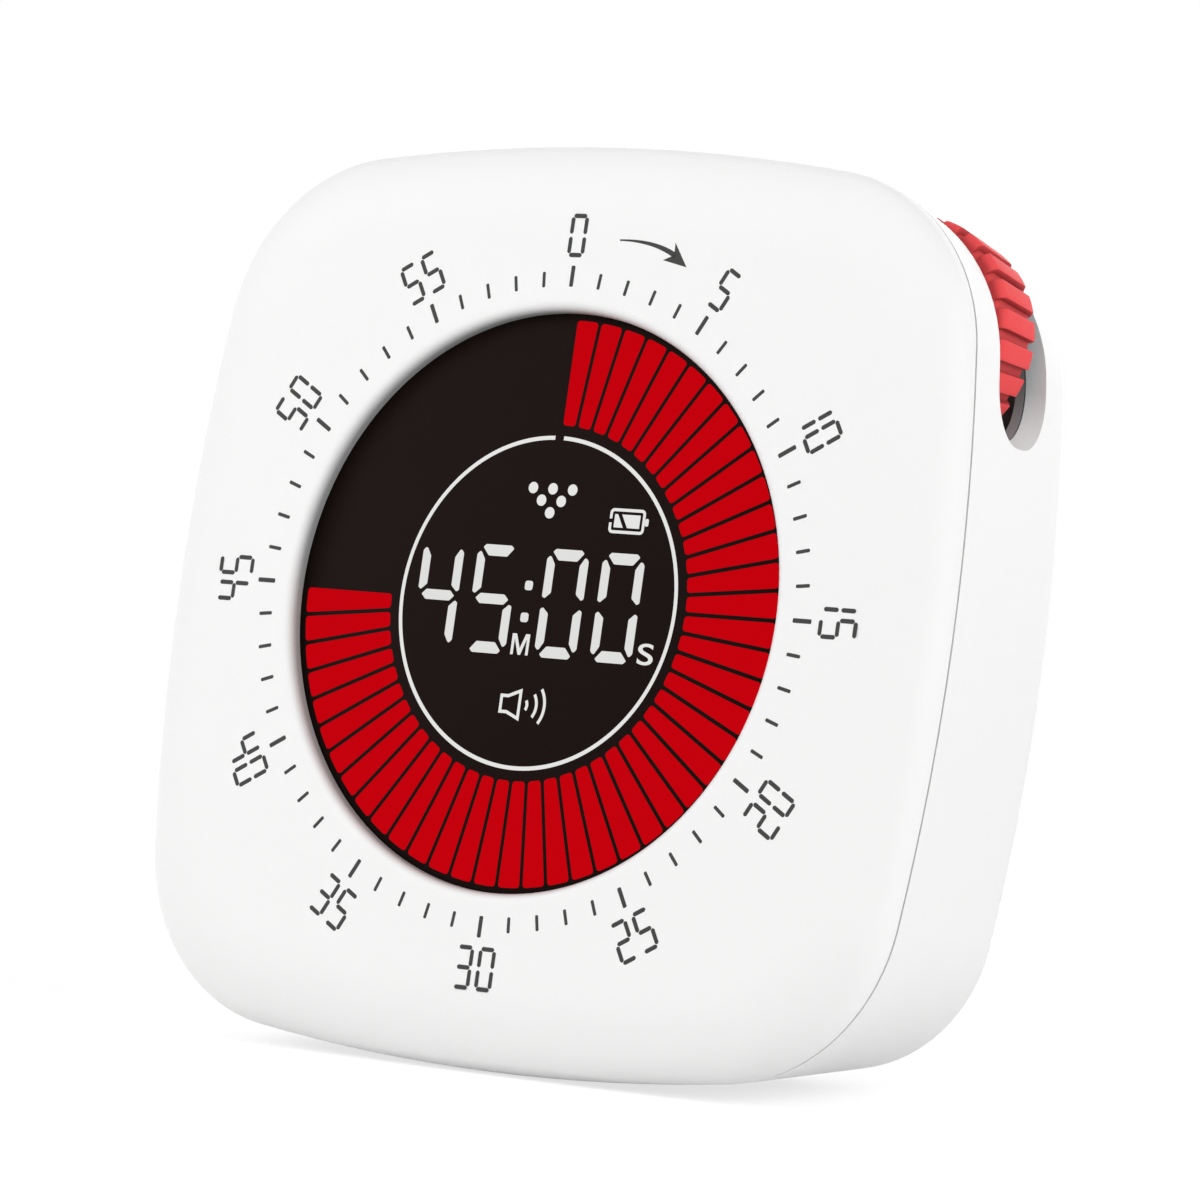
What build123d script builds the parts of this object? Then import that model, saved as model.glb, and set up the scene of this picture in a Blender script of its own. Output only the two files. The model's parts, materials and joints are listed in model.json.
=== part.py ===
from build123d import *

import os
from math import atan2, cos, pi, radians, sin, sqrt, tan

# Pomodoro timer, in millimetres. Every piece is drawn facing the viewer, with x to the right, y up the face
# and depth back from the face, around the centre of the display. The last step stands it on its base.

# Case outline: a square with bowed sides and round corners, drafted inward toward the back
case_half = 40.0
case_depth = 26.8
side_radius = 195.0
corner_radius = 16.35
draft_angle = 9.0

# Shells
wall = 2.0
back_wall = 2.0
seam_depth = 4.35
seam_gap = 0.35
edge_inset = 7.6
edge_depth = 3.6
edge_steps = 8
rear_edge_radius = 3.6
rim_wall = 3.2
tongue_thickness = 0.9
tongue_height = 1.3
shell_clearance = 0.1
cut_overrun = 1.0

# Base, where the bowed bottom is trimmed to a flat land that holds the grip pad
land_depth = 0.3
pad_proud = 0.1
pad_recess = 0.4
pad_width = 18.0
pad_margin = 1.8
pad_clearance = 0.1
pad_corner_radius = 3.0

# Display window behind the lip of the face
face_border = 14.95
lip_depth = 1.4
lip_round = 0.9
adhesive_thickness = 0.1
adhesive_width = 1.0
window_thickness = 0.5
window_overlap = 1.35
window_clearance = 0.1

# Display stack
glass_margin = 0.65
glass_thickness = 0.7
glass_gap = 0.05
contact_ledge = 2.6
diffuser_thickness = 0.2
guide_thickness = 1.5
reflector_thickness = 0.15
frame_wall = 1.2
frame_floor = 0.8
frame_fit = 0.15
led_strip_thickness = 0.3
led_width = 1.2
led_height = 1.0
led_length = 3.0
led_end_gap = 1.4
led_gap = 0.3
led_count = 3
zebra_width = 1.8
zebra_end_gap = 1.0

# Board
board_inset = 4.0
board_thickness = 1.2
board_clearance = 0.4
board_boss_gap = 0.65
board_head_gap = 0.6
board_boss_radius = 2.0
board_screw_radius = 0.75
board_screw_length = 4.0
board_head_radius = 1.6
board_head_height = 1.0

# Case posts and screws
post_inset = 13.4
post_gap = 0.55
boss_radius = 2.6
post_radius = 3.4
mate_margin = 2.0
mate_gap = 0.1
screw_radius = 0.95
screw_length = 8.0
screw_clearance = 0.2
head_radius = 1.9
head_height = 1.4
head_clearance = 0.3
head_seat = 2.0
thread_fit = 0.03
pilot_margin = 0.5
drive_radius = 0.9
drive_depth = 0.8
drive_sides = 6

# Thumbwheel, its slot, shroud and encoder
wheel_inset = 13.33
wheel_taper = 7.6
crown_radius = 9.87
wheel_bevel = 0.75
rib_count = 23
rib_height = 0.6
groove_share = 0.36
rib_phase = 13.0
hub_radius = 3.5
hub_stand = 0.4
hub_front_stand = 1.7
rim_thickness = 2.6
web_thickness = 3.0
axle_radius = 1.0
axle_seat = 3.6
axle_end_gap = 0.2
axle_boss_radius = 3.0
axle_base_radius = 5.0
axle_base_height = 2.8
running_fit = 0.05
slot_side_gap = 1.8
slot_reach_gap = 4.43
slot_round_share = 0.45
slot_half_angle = 62.5
slot_inner_share = 0.5
shroud_step = 0.8
shroud_wall = 0.8
shroud_floor_gap = 0.9
shroud_clearance = 0.15
shroud_board_gap = 0.3
shroud_room = 0.6
encoder_side = 8.0
encoder_height = 2.2
encoder_gap = 0.3
rotor_radius = 2.3
rotor_gap = 0.2

# Chips on the board
controller_x = 7.0
controller_y = -10.0
controller_side = 7.0
controller_height = 1.0
charger_gap = 4.9
charger_side = 3.0
charger_height = 0.9
crystal_x = 14.5
crystal_width = 2.5
crystal_length = 3.2
crystal_height = 0.8

# Battery
battery_floor_gap = 12.0
battery_side_gap = 2.2
battery_speaker_gap = 4.8
battery_thickness = 5.0
battery_round = 1.2
tape_thickness = 0.6
tape_inset = 2.0
lead_radius = 0.45
lead_pitch = 2.0
lead_run = 6.5
lead_bend_share = 0.27
lead_inset = 0.8
plug_width = 5.4
plug_length = 5.0
plug_thickness = 2.6
plug_insertion = 3.4
socket_wall = 0.8
socket_back = 1.2
socket_fit = 0.1
socket_standoff = 0.6
socket_shroud_gap = 5.3

# Speaker and the sound holes behind it
speaker_inset_x = 26.0
speaker_inset_y = 24.0
speaker_radius = 10.0
speaker_height = 3.0
speaker_plate = 0.8
speaker_rim = 1.2
speaker_ledge = 0.7
cone_thickness = 0.3
cone_recess = 0.5
magnet_radius = 6.0
magnet_height = 1.0
gasket_thickness = 0.8
speaker_fit = 0.2
speaker_rib = 1.0
speaker_rib_height = 2.5
sound_hole_radius = 0.7
sound_ring_pitch = 2.6
sound_ring_count = 2
sound_holes_per_ring = 6
voice_lead_radius = 0.35
voice_lead_pitch = 3.0
voice_lead_x = 4.0
voice_lead_y = 7.0
voice_lead_shift = 2.5
voice_run_share = 0.33
voice_bend_share = 0.22

# USB-C port on the left side
usb_corner_gap = 20.0
usb_width = 8.94
usb_height = 3.26
usb_length = 7.35
usb_shell = 0.3
usb_recess = 0.5
usb_clearance = 0.25
tongue_width = 6.69
tongue_plate = 0.7
tongue_length = 4.45
tongue_root = 1.2
tongue_fit = 0.02

# Volume switch on the left side
volume_body_length = 9.0
volume_body_width = 3.6
volume_body_height = 3.5
volume_travel = 4.0
slider_length = 2.6
slider_thickness = 1.5
slider_depth = 2.1
slider_proud = 0.7
slider_fit = 0.15
slider_clearance = 0.3
slider_round = 0.3

# Mode button and its switch on the left side
mode_corner_gap = 20.0
mode_body_length = 5.2
mode_body_width = 3.5
mode_body_height = 4.2
mode_body_setback = 1.5
mode_center_height = 2.6
mode_travel = 0.35
plunger_radius = 0.7
plunger_seat = 1.0
plunger_stand = 0.75
button_radius = 1.6
button_stem_radius = 1.0
button_flange_radius = 2.2
button_flange = 0.6
button_flange_gap = 0.55
button_proud = 0.6
button_clearance = 0.15
button_round = 0.35

# Places that follow the case's outline
opening_radius = case_half - face_border
glass_half = opening_radius + glass_margin
post_reach = case_half - post_inset
wheel_reach = case_half - wheel_inset
speaker_x = speaker_inset_x - case_half
speaker_y = case_half - speaker_inset_y
usb_y = usb_corner_gap - case_half
mode_y = case_half - mode_corner_gap

# Depths, worked out from front to back
adhesive_depth = lip_depth
window_depth = adhesive_depth + adhesive_thickness
face_wall = window_depth + window_thickness
front_glass_depth = face_wall + glass_gap
rear_glass_depth = front_glass_depth + glass_thickness
diffuser_depth = rear_glass_depth + glass_thickness
guide_depth = diffuser_depth + diffuser_thickness
reflector_depth = guide_depth + guide_thickness
frame_floor_depth = reflector_depth + reflector_thickness
board_depth = frame_floor_depth + frame_floor
board_back = board_depth + board_thickness
mate_depth = board_back + mate_margin
head_depth = mate_depth + mate_gap + head_seat
inner_back = case_depth - back_wall

# Wheel depths: the rim fills what the encoder in front and the shroud behind leave of the case
encoder_back = board_back + encoder_height
hub_front = encoder_back + encoder_gap
wheel_front = hub_front + hub_front_stand
crown_front = wheel_front + wheel_bevel
shroud_back = inner_back - axle_base_height
shroud_floor_depth = shroud_back - shroud_wall
slot_rear = shroud_floor_depth - shroud_floor_gap
slot_front = wheel_front - slot_side_gap
wheel_rear = slot_rear - slot_side_gap
crown_rear = wheel_rear - wheel_bevel
wheel_depth = (crown_front + crown_rear) / 2
hub_rear = wheel_rear + hub_stand
axle_boss_depth = hub_rear + axle_end_gap

# Wheel and slot radii
rear_crown_radius = crown_radius - (crown_rear - crown_front) * tan(radians(wheel_taper))
slot_reach = crown_radius + slot_reach_gap
slot_round = slot_round_share * (slot_rear - slot_front)

# Frame and post places
window_radius = opening_radius + window_overlap
led_room = led_strip_thickness + led_width + led_gap
frame_left = glass_half + led_room + frame_fit
board_boss_x = frame_left + frame_wall + board_boss_gap + board_boss_radius
lower_boss_y = volume_body_length / 2 + board_head_gap + board_head_radius
zebra_y = -(glass_half + contact_ledge / 2)
top_post_y = glass_half + frame_fit + frame_wall + post_gap + boss_radius
frame_diagonal = 2 * post_reach - sqrt(2) * (boss_radius + post_gap)
inner_diagonal = frame_diagonal - sqrt(2) * frame_wall
glass_diagonal = inner_diagonal - sqrt(2) * frame_fit
led_strip_length = 2 * (inner_diagonal - frame_left - led_end_gap)
led_pitch = led_strip_length / led_count
zebra_length = 2 * (inner_diagonal + zebra_y - zebra_width / 2 - zebra_end_gap)
shroud_inner = slot_reach + shroud_step
shroud_outer = shroud_inner + shroud_wall
top_post_span = shroud_outer + shroud_room + post_radius
top_post_x = wheel_reach - sqrt(top_post_span**2 - (top_post_y - wheel_reach) ** 2)
right_boss_span = shroud_outer + shroud_room + board_head_radius
right_boss_y = wheel_reach - sqrt(right_boss_span**2 - (board_boss_x - wheel_reach) ** 2)
post_places = [
    (-post_reach, post_reach),
    (-post_reach, -post_reach),
    (post_reach, -post_reach),
    (top_post_x, top_post_y),
]
board_boss_places = [
    (-board_boss_x, lower_boss_y),
    (-board_boss_x, -lower_boss_y),
    (board_boss_x, -lower_boss_y),
    (board_boss_x, right_boss_y),
]

# Battery between the lower posts, under the speaker
battery_width = 2 * (post_reach - post_radius - battery_side_gap)
battery_top = speaker_y - speaker_radius - speaker_fit - speaker_rib - battery_speaker_gap
battery_height = case_half - battery_floor_gap + battery_top
battery_y = battery_top - battery_height / 2

# Corner centre and the angle where each side arc runs into its corner arc
bow = side_radius - case_half
corner_centre = (sqrt(2 * (side_radius - corner_radius) ** 2 - bow**2) - bow) / 2
tangent_angle = atan2(corner_centre, corner_centre + bow)


def turn(point, quarters):
    for _ in range(quarters):
        point = (-point[1], point[0])
    return point


def outline(offset):
    # The case's outline, grown by offset: a side arc and a corner arc for each quarter
    radius = corner_radius + offset
    ends = [tangent_angle, pi / 4, pi / 2 - tangent_angle]
    start, middle, end = [(corner_centre + radius * cos(a), corner_centre + radius * sin(a)) for a in ends]
    arcs = []
    for quarter in range(4):
        side_points = [(start[0], -start[1]), (case_half + offset, 0), start]
        corner_points = [start, middle, end]
        arcs.append(ThreePointArc(*[turn(point, quarter) for point in side_points]))
        arcs.append(ThreePointArc(*[turn(point, quarter) for point in corner_points]))
    return make_face(arcs)


def draft_inset(depth):
    return (depth - seam_depth) * tan(radians(draft_angle))


def side_reach(y, depth):
    # How far the left or right wall stands from the middle at this height and depth
    return sqrt((side_radius - draft_inset(depth)) ** 2 - y**2) - bow


def prism(sketch, front, back):
    return extrude(Pos(0, 0, -back) * sketch, back - front)


def drafted(offset, front, back):
    # The case's outline between two depths, following the draft of its walls
    plane = Plane(origin=(0, 0, -front), x_dir=(1, 0, 0), z_dir=(0, 0, -1))
    return extrude(plane * outline(offset - draft_inset(front)), back - front, taper=draft_angle)


def rod(x, y, radius, front, back):
    return prism(Pos(x, y) * Circle(radius), front, back)


def tube(x, y, outer, inner, front, back):
    return prism(Pos(x, y) * (Circle(outer) - Circle(inner)), front, back)


def block(x, y, width, height, front, back):
    return prism(Pos(x, y) * Rectangle(width, height), front, back)


def turned(points, x, y):
    # A polygon of radius and depth pairs, turned about an axle that runs front to back
    plane = Plane(origin=(x, y, 0), x_dir=(1, 0, 0), z_dir=(0, -1, 0))
    profile = make_face(Polyline(*[(radius, -depth) for radius, depth in points], close=True))
    return plane * profile, Axis((x, y, 0), (0, 0, 1))


def side_prism(sketch, y, depth, near, far):
    # A shape on the left side, drawn as height and depth, between two distances from the middle
    plane = Plane(origin=(-near, y, -depth), x_dir=(0, 1, 0), z_dir=(-1, 0, 0))
    return extrude(plane * sketch, far - near)


def clipped(left, right, bottom, top, diagonal):
    # A rectangle whose corners are cut back to clear the case posts
    box = Pos((left + right) / 2, (bottom + top) / 2) * Rectangle(right - left, top - bottom)
    return box & Rot(0, 0, 45) * Rectangle(sqrt(2) * diagonal, sqrt(2) * diagonal)


def wire(points, radius, bend):
    # A lead along straight runs and equal bends, all in the plane of one x
    path = FilletPolyline(*points, radius=bend)
    start = Plane(origin=path @ 0, z_dir=path % 0)
    return sweep(start * Circle(radius), path=path)


def base_plane(offset):
    # Touches the bottom of the case along its draft. Its x runs right and its y forward.
    slope = radians(draft_angle)
    normal = Vector(0, -cos(slope), -sin(slope))
    origin = Vector(0, -case_half, -seam_depth) + normal * offset
    return Plane(origin=origin, x_dir=(1, 0, 0), z_dir=normal)


base_length = (case_depth - seam_depth - rear_edge_radius) / cos(radians(draft_angle))
pad_length = base_length - 2 * pad_margin
pad_place = Pos(0, -base_length / 2)


def pad_solid(grow, from_offset, to_offset):
    corner = pad_corner_radius + grow
    sketch = RectangleRounded(pad_width + 2 * grow, pad_length + 2 * grow, corner)
    return extrude(base_plane(from_offset) * pad_place * sketch, to_offset - from_offset)


def lip_cutter():
    # The round opening, flared at the face by the lip's rounding
    outer = opening_radius + lip_round
    middle = outer - lip_round * sin(pi / 4)
    middle_height = lip_round * (cos(pi / 4) - 1)
    plane = Plane(origin=(0, 0, 0), x_dir=(1, 0, 0), z_dir=(0, -1, 0))
    edges = [
        Line((0, cut_overrun), (outer, cut_overrun)),
        Line((outer, cut_overrun), (outer, 0)),
        ThreePointArc((outer, 0), (middle, middle_height), (opening_radius, -lip_round)),
        Line((opening_radius, -lip_round), (opening_radius, -face_wall)),
        Line((opening_radius, -face_wall), (0, -face_wall)),
        Line((0, -face_wall), (0, cut_overrun)),
    ]
    return revolve(plane * make_face(edges), Axis.Z)


def front_shell():
    sections = []
    for step in range(edge_steps + 1):
        angle = pi / 2 * step / edge_steps
        section_depth = edge_depth * (1 - sin(angle))
        sections.append(Pos(0, 0, -section_depth) * outline(-edge_inset * (1 - cos(angle))))
    shell = loft(sections) + prism(outline(0), edge_depth, seam_depth)
    shell -= prism(outline(-rim_wall), face_wall, seam_depth + cut_overrun)
    rebate_front = seam_depth - tongue_height - shell_clearance
    rebate_inset = wall - tongue_thickness - shell_clearance
    shell -= prism(outline(-rebate_inset), rebate_front, seam_depth + cut_overrun)
    shell -= lip_cutter()
    shell -= rod(0, 0, window_radius + window_clearance, adhesive_depth, face_wall + cut_overrun)
    for x, y in post_places:
        shell += rod(x, y, boss_radius, face_wall, mate_depth)
        shell -= rod(x, y, screw_radius + thread_fit, head_depth - screw_length - pilot_margin, mate_depth)
    for x, y in board_boss_places:
        pilot_front = board_back - board_screw_length - pilot_margin
        shell += rod(x, y, board_boss_radius, face_wall, board_depth)
        shell -= rod(x, y, board_screw_radius + thread_fit, pilot_front, board_depth)
    return shell


def wheel_slot():
    # The opening for the wheel: a sector about the corner's centre, so that its walls stand square to the case
    middle = (corner_centre, corner_centre)
    start = 45 - slot_half_angle
    outer = CenterArc(middle, corner_radius + wall + cut_overrun, start, 2 * slot_half_angle)
    inner = CenterArc(middle, corner_radius * slot_inner_share, start, 2 * slot_half_angle)
    ends = [Line(inner @ share, outer @ share) for share in (0, 1)]
    sector = prism(make_face([inner, outer] + ends), slot_front, slot_rear)
    corners = sector.edges().filter_by(GeomType.LINE).filter_by(Axis.Z, reverse=True)
    return fillet(corners, slot_round)


def sound_hole_places():
    places = [(speaker_x, speaker_y)]
    for ring in range(1, sound_ring_count + 1):
        count = ring * sound_holes_per_ring
        for index in range(count):
            angle = 2 * pi * index / count
            reach = ring * sound_ring_pitch
            places.append((speaker_x + reach * cos(angle), speaker_y + reach * sin(angle)))
    return places


def rear_shell():
    wall_front = seam_depth + seam_gap
    shell = drafted(0, wall_front, case_depth)
    shell = fillet(shell.edges().group_by(Axis.Z)[0], rear_edge_radius)
    shell -= extrude(base_plane(-land_depth) * Rectangle(2 * case_half, 2 * case_depth), cut_overrun)
    shell -= drafted(-wall, wall_front, inner_back)
    tongue = prism(outline(-wall + tongue_thickness), seam_depth - tongue_height, wall_front)
    shell += tongue - prism(outline(-wall), seam_depth - tongue_height, wall_front)
    shell -= wheel_slot()
    shell -= pad_solid(pad_clearance, -land_depth - pad_recess, cut_overrun)
    shell += rod(wheel_reach, wheel_reach, axle_base_radius, shroud_back, inner_back)
    shell += rod(wheel_reach, wheel_reach, axle_boss_radius, axle_boss_depth, shroud_back)
    bore_back = axle_boss_depth + axle_seat + axle_end_gap
    shell -= rod(wheel_reach, wheel_reach, axle_radius + running_fit, axle_boss_depth, bore_back)
    rib_inner = speaker_radius + speaker_fit
    rib_front = inner_back - speaker_rib_height
    shell += tube(speaker_x, speaker_y, rib_inner + speaker_rib, rib_inner, rib_front, inner_back)
    for x, y in sound_hole_places():
        shell -= rod(x, y, sound_hole_radius, inner_back - cut_overrun, case_depth + cut_overrun)
    for x, y in post_places:
        shell += rod(x, y, post_radius, mate_depth + mate_gap, inner_back)
        shell -= rod(x, y, screw_radius + screw_clearance, mate_depth + mate_gap, head_depth)
        shell -= rod(x, y, head_radius + head_clearance, head_depth, case_depth + cut_overrun)
    return shell - side_openings()


def side_openings():
    # Holes in the left wall for the port, the slider and the button
    far = case_half + cut_overrun
    near = board_boss_x
    usb_width_cut = usb_width + 2 * usb_clearance
    usb_height_cut = usb_height + 2 * usb_clearance
    usb_sketch = SlotOverall(usb_width_cut, usb_height_cut)
    cut = side_prism(usb_sketch, usb_y, board_back + usb_height / 2, near, far)
    slider_span = slider_length + volume_travel + 2 * slider_clearance
    slider_sketch = Rectangle(slider_span, slider_thickness + 2 * slider_clearance)
    cut += side_prism(slider_sketch, 0, board_back + volume_body_height / 2, near, far)
    button_sketch = Circle(button_radius + button_clearance)
    cut += side_prism(button_sketch, mode_y, board_back + mode_center_height, near, far)
    return cut


def case_screws():
    screws = []
    for x, y in post_places:
        screw = rod(x, y, screw_radius, head_depth - screw_length, head_depth)
        screw += rod(x, y, head_radius, head_depth, head_depth + head_height)
        drive = Pos(x, y) * RegularPolygon(drive_radius, drive_sides)
        screws.append(screw - prism(drive, head_depth + head_height - drive_depth, head_depth + head_height))
    return Compound(screws)


def board_screws():
    screws = []
    for x, y in board_boss_places:
        screw = rod(x, y, board_screw_radius, board_back - board_screw_length, board_back)
        screws.append(screw + rod(x, y, board_head_radius, board_back, board_back + board_head_height))
    return Compound(screws)


def foot_pad():
    return pad_solid(0, -land_depth - pad_recess, pad_proud)


def display_window():
    return rod(0, 0, window_radius, window_depth, face_wall)


def window_adhesive():
    return tube(0, 0, window_radius, window_radius - adhesive_width, adhesive_depth, window_depth)


def glass_sheet(front, thickness, ledge):
    sketch = clipped(-glass_half, glass_half, -glass_half - ledge, glass_half, glass_diagonal)
    return prism(sketch, front, front + thickness)


def frame_sketch(grow, diagonal):
    left = -(frame_left + grow)
    right = glass_half + frame_fit + grow
    bottom = -(glass_half + contact_ledge + frame_fit + grow)
    top = glass_half + frame_fit + grow
    return clipped(left, right, bottom, top, diagonal)


def lcd_frame():
    frame = prism(frame_sketch(frame_wall, frame_diagonal), front_glass_depth, board_depth)
    frame -= prism(frame_sketch(0, inner_diagonal), front_glass_depth, frame_floor_depth)
    slot_length = zebra_length + 2 * frame_fit
    return frame - block(0, zebra_y, slot_length, zebra_width + 2 * frame_fit, frame_floor_depth, board_depth)


def led_strip():
    x = -frame_left + led_strip_thickness / 2
    return block(x, 0, led_strip_thickness, led_strip_length, guide_depth, frame_floor_depth)


def backlight_leds():
    x = -frame_left + led_strip_thickness + led_width / 2
    middle = guide_depth + guide_thickness / 2
    leds = []
    for index in range(led_count):
        y = (index - (led_count - 1) / 2) * led_pitch
        leds.append(block(x, y, led_width, led_length, middle - led_height / 2, middle + led_height / 2))
    return Compound(leds)


def zebra_strip():
    return block(0, zebra_y, zebra_length, zebra_width, rear_glass_depth, board_depth)


def main_board():
    board = prism(outline(-board_inset), board_depth, board_back)
    for x, y in post_places:
        board -= rod(x, y, boss_radius + board_clearance, board_depth, board_back)
    for x, y in board_boss_places:
        board -= rod(x, y, board_screw_radius + screw_clearance, board_depth, board_back)
    return board


def controller_chip():
    back = board_back + controller_height
    return block(controller_x, controller_y, controller_side, controller_side, board_back, back)


def charger_chip():
    x = usb_inner_end - charger_gap - charger_side / 2
    return block(-x, usb_y, charger_side, charger_side, board_back, board_back + charger_height)


def crystal():
    back = board_back + crystal_height
    return block(crystal_x, controller_y, crystal_width, crystal_length, board_back, back)


def encoder_body():
    body = block(wheel_reach, wheel_reach, encoder_side, encoder_side, board_back, encoder_back)
    return body - rod(wheel_reach, wheel_reach, rotor_radius + running_fit, board_back, encoder_back)


def encoder_rotor():
    front = board_back + rotor_gap
    return tube(wheel_reach, wheel_reach, rotor_radius, axle_radius, front, encoder_back)


def wheel_axle():
    return rod(wheel_reach, wheel_reach, axle_radius, board_back + rotor_gap, axle_boss_depth + axle_seat)


def thumbwheel():
    front_radius = crown_radius - wheel_bevel
    rear_radius = rear_crown_radius - wheel_bevel
    rim_radius = rear_radius - rim_thickness + wheel_bevel
    web_front = wheel_depth - web_thickness / 2
    web_rear = wheel_depth + web_thickness / 2
    profile, axis = turned(
        [
            (axle_radius, hub_front),
            (hub_radius, hub_front),
            (hub_radius, web_front),
            (rim_radius, web_front),
            (rim_radius, wheel_front),
            (front_radius, wheel_front),
            (crown_radius, crown_front),
            (rear_crown_radius, crown_rear),
            (rear_radius, wheel_rear),
            (rim_radius, wheel_rear),
            (rim_radius, web_rear),
            (hub_radius, web_rear),
            (hub_radius, hub_rear),
            (axle_radius, hub_rear),
        ],
        wheel_reach,
        wheel_reach,
    )
    wheel = revolve(profile, axis)
    groove_profile, axis = turned(
        [
            (front_radius - rib_height, wheel_front - cut_overrun),
            (front_radius - rib_height, wheel_front),
            (crown_radius - rib_height, crown_front),
            (rear_crown_radius - rib_height, crown_rear),
            (rear_radius - rib_height, wheel_rear),
            (rear_radius - rib_height, wheel_rear + cut_overrun),
            (crown_radius + cut_overrun, wheel_rear + cut_overrun),
            (crown_radius + cut_overrun, wheel_front - cut_overrun),
        ],
        wheel_reach,
        wheel_reach,
    )
    pitch = 360 / rib_count
    groove = revolve(groove_profile, axis, pitch * groove_share)
    centre = Pos(wheel_reach, wheel_reach)
    turns = [rib_phase + pitch * index for index in range(rib_count)]
    grooves = [centre * Rot(0, 0, angle) * centre.inverse() * groove for angle in turns]
    return wheel - grooves


def wheel_shroud():
    # A cup around the wheel, with a flange along the case wall that is cut by the same slot
    front = board_back + shroud_board_gap
    cup = rod(wheel_reach, wheel_reach, shroud_outer, front, shroud_back)
    cup -= rod(wheel_reach, wheel_reach, shroud_inner, front, shroud_floor_depth)
    floor_hole = axle_boss_radius + shroud_clearance
    cup -= rod(wheel_reach, wheel_reach, floor_hole, shroud_floor_depth, shroud_back)
    inside = drafted(-wall - shroud_clearance, seam_depth, inner_back)
    flange = inside - drafted(-wall - shroud_clearance - shroud_wall, seam_depth, inner_back)
    flange &= rod(wheel_reach, wheel_reach, shroud_outer, front, shroud_back)
    return (cup & inside) + (flange - wheel_slot())


def battery_cell():
    back = inner_back - tape_thickness
    sketch = Pos(0, battery_y) * RectangleRounded(battery_width, battery_height, battery_round)
    return prism(sketch, back - battery_thickness, back)


def battery_tape():
    width = battery_width - 2 * tape_inset
    height = battery_height - 2 * tape_inset
    return block(0, battery_y, width, height, inner_back - tape_thickness, inner_back)


lead_depth = inner_back - tape_thickness - battery_thickness + lead_inset
socket_width = plug_width + 2 * (socket_fit + socket_wall)
plug_x = wheel_reach - shroud_outer - shroud_room - socket_shroud_gap - socket_width / 2
plug_bottom = battery_top + 2 * lead_run
plug_middle = board_back + socket_standoff + socket_wall + plug_thickness / 2
socket_bottom = plug_bottom + plug_length - plug_insertion
socket_length = plug_insertion + socket_back


def battery_plug():
    y = plug_bottom + plug_length / 2
    front = plug_middle - plug_thickness / 2
    return block(plug_x, y, plug_width, plug_length, front, front + plug_thickness)


def battery_socket():
    back = plug_middle + plug_thickness / 2 + socket_fit + socket_wall
    socket = block(plug_x, socket_bottom + socket_length / 2, socket_width, socket_length, board_back, back)
    mouth_front = plug_middle - plug_thickness / 2 - socket_fit
    mouth_back = plug_middle + plug_thickness / 2 + socket_fit
    mouth_y = socket_bottom + (plug_insertion + socket_fit) / 2
    mouth_width = plug_width + 2 * socket_fit
    return socket - block(plug_x, mouth_y, mouth_width, plug_insertion + socket_fit, mouth_front, mouth_back)


def battery_leads():
    bend = lead_bend_share * (lead_depth - plug_middle)
    leads = []
    for side in (-1, 1):
        x = plug_x + side * lead_pitch / 2
        points = [
            (x, battery_top, -lead_depth),
            (x, battery_top + lead_run, -lead_depth),
            (x, battery_top + lead_run, -plug_middle),
            (x, plug_bottom, -plug_middle),
        ]
        leads.append(wire(points, lead_radius, bend))
    return Compound(leads)


gasket_depth = inner_back - gasket_thickness
speaker_depth = gasket_depth - speaker_height
cone_depth = gasket_depth - cone_recess - cone_thickness


def speaker_gasket():
    return tube(speaker_x, speaker_y, speaker_radius, speaker_radius - speaker_rim, gasket_depth, inner_back)


def speaker_frame():
    frame = rod(speaker_x, speaker_y, speaker_radius, speaker_depth, gasket_depth)
    inner = speaker_radius - speaker_rim
    frame -= rod(speaker_x, speaker_y, inner, cone_depth, gasket_depth)
    return frame - rod(speaker_x, speaker_y, inner - speaker_ledge, speaker_depth + speaker_plate, cone_depth)


def speaker_cone():
    radius = speaker_radius - speaker_rim - running_fit
    return rod(speaker_x, speaker_y, radius, cone_depth, cone_depth + cone_thickness)


def speaker_magnet():
    front = speaker_depth + speaker_plate
    return rod(speaker_x, speaker_y, magnet_radius, front, front + magnet_height)


def speaker_leads():
    leads = []
    top = speaker_y - voice_lead_y
    bottom = top - voice_lead_shift
    span = speaker_depth - board_back
    run = voice_run_share * span
    lean = atan2(voice_lead_shift, span - 2 * run)
    bend = voice_bend_share * run / tan(lean / 2)
    for side in (-1, 1):
        x = speaker_x - voice_lead_x + side * voice_lead_pitch / 2
        points = [
            (x, top, -speaker_depth),
            (x, top, -speaker_depth + run),
            (x, bottom, -board_back - run),
            (x, bottom, -board_back),
        ]
        leads.append(wire(points, voice_lead_radius, bend))
    return Compound(leads)


usb_depth = board_back + usb_height / 2
usb_mouth = side_reach(usb_y, usb_depth) - usb_recess
usb_inner_end = usb_mouth - usb_length
usb_inner_width = usb_width - 2 * usb_shell
usb_inner_height = usb_height - 2 * usb_shell


def usb_c_shell():
    shell = side_prism(SlotOverall(usb_width, usb_height), usb_y, usb_depth, usb_inner_end, usb_mouth)
    bore = SlotOverall(usb_inner_width, usb_inner_height)
    return shell - side_prism(bore, usb_y, usb_depth, usb_inner_end, usb_mouth)


def usb_c_tongue():
    root_end = usb_inner_end + tongue_root
    root = SlotOverall(usb_inner_width - 2 * tongue_fit, usb_inner_height - 2 * tongue_fit)
    tongue = side_prism(root, usb_y, usb_depth, usb_inner_end, root_end)
    plate = Rectangle(tongue_width, tongue_plate)
    return tongue + side_prism(plate, usb_y, usb_depth, root_end, root_end + tongue_length)


volume_depth = board_back + volume_body_height / 2
volume_face = case_half - board_inset
slider_y = volume_travel / 2


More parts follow.
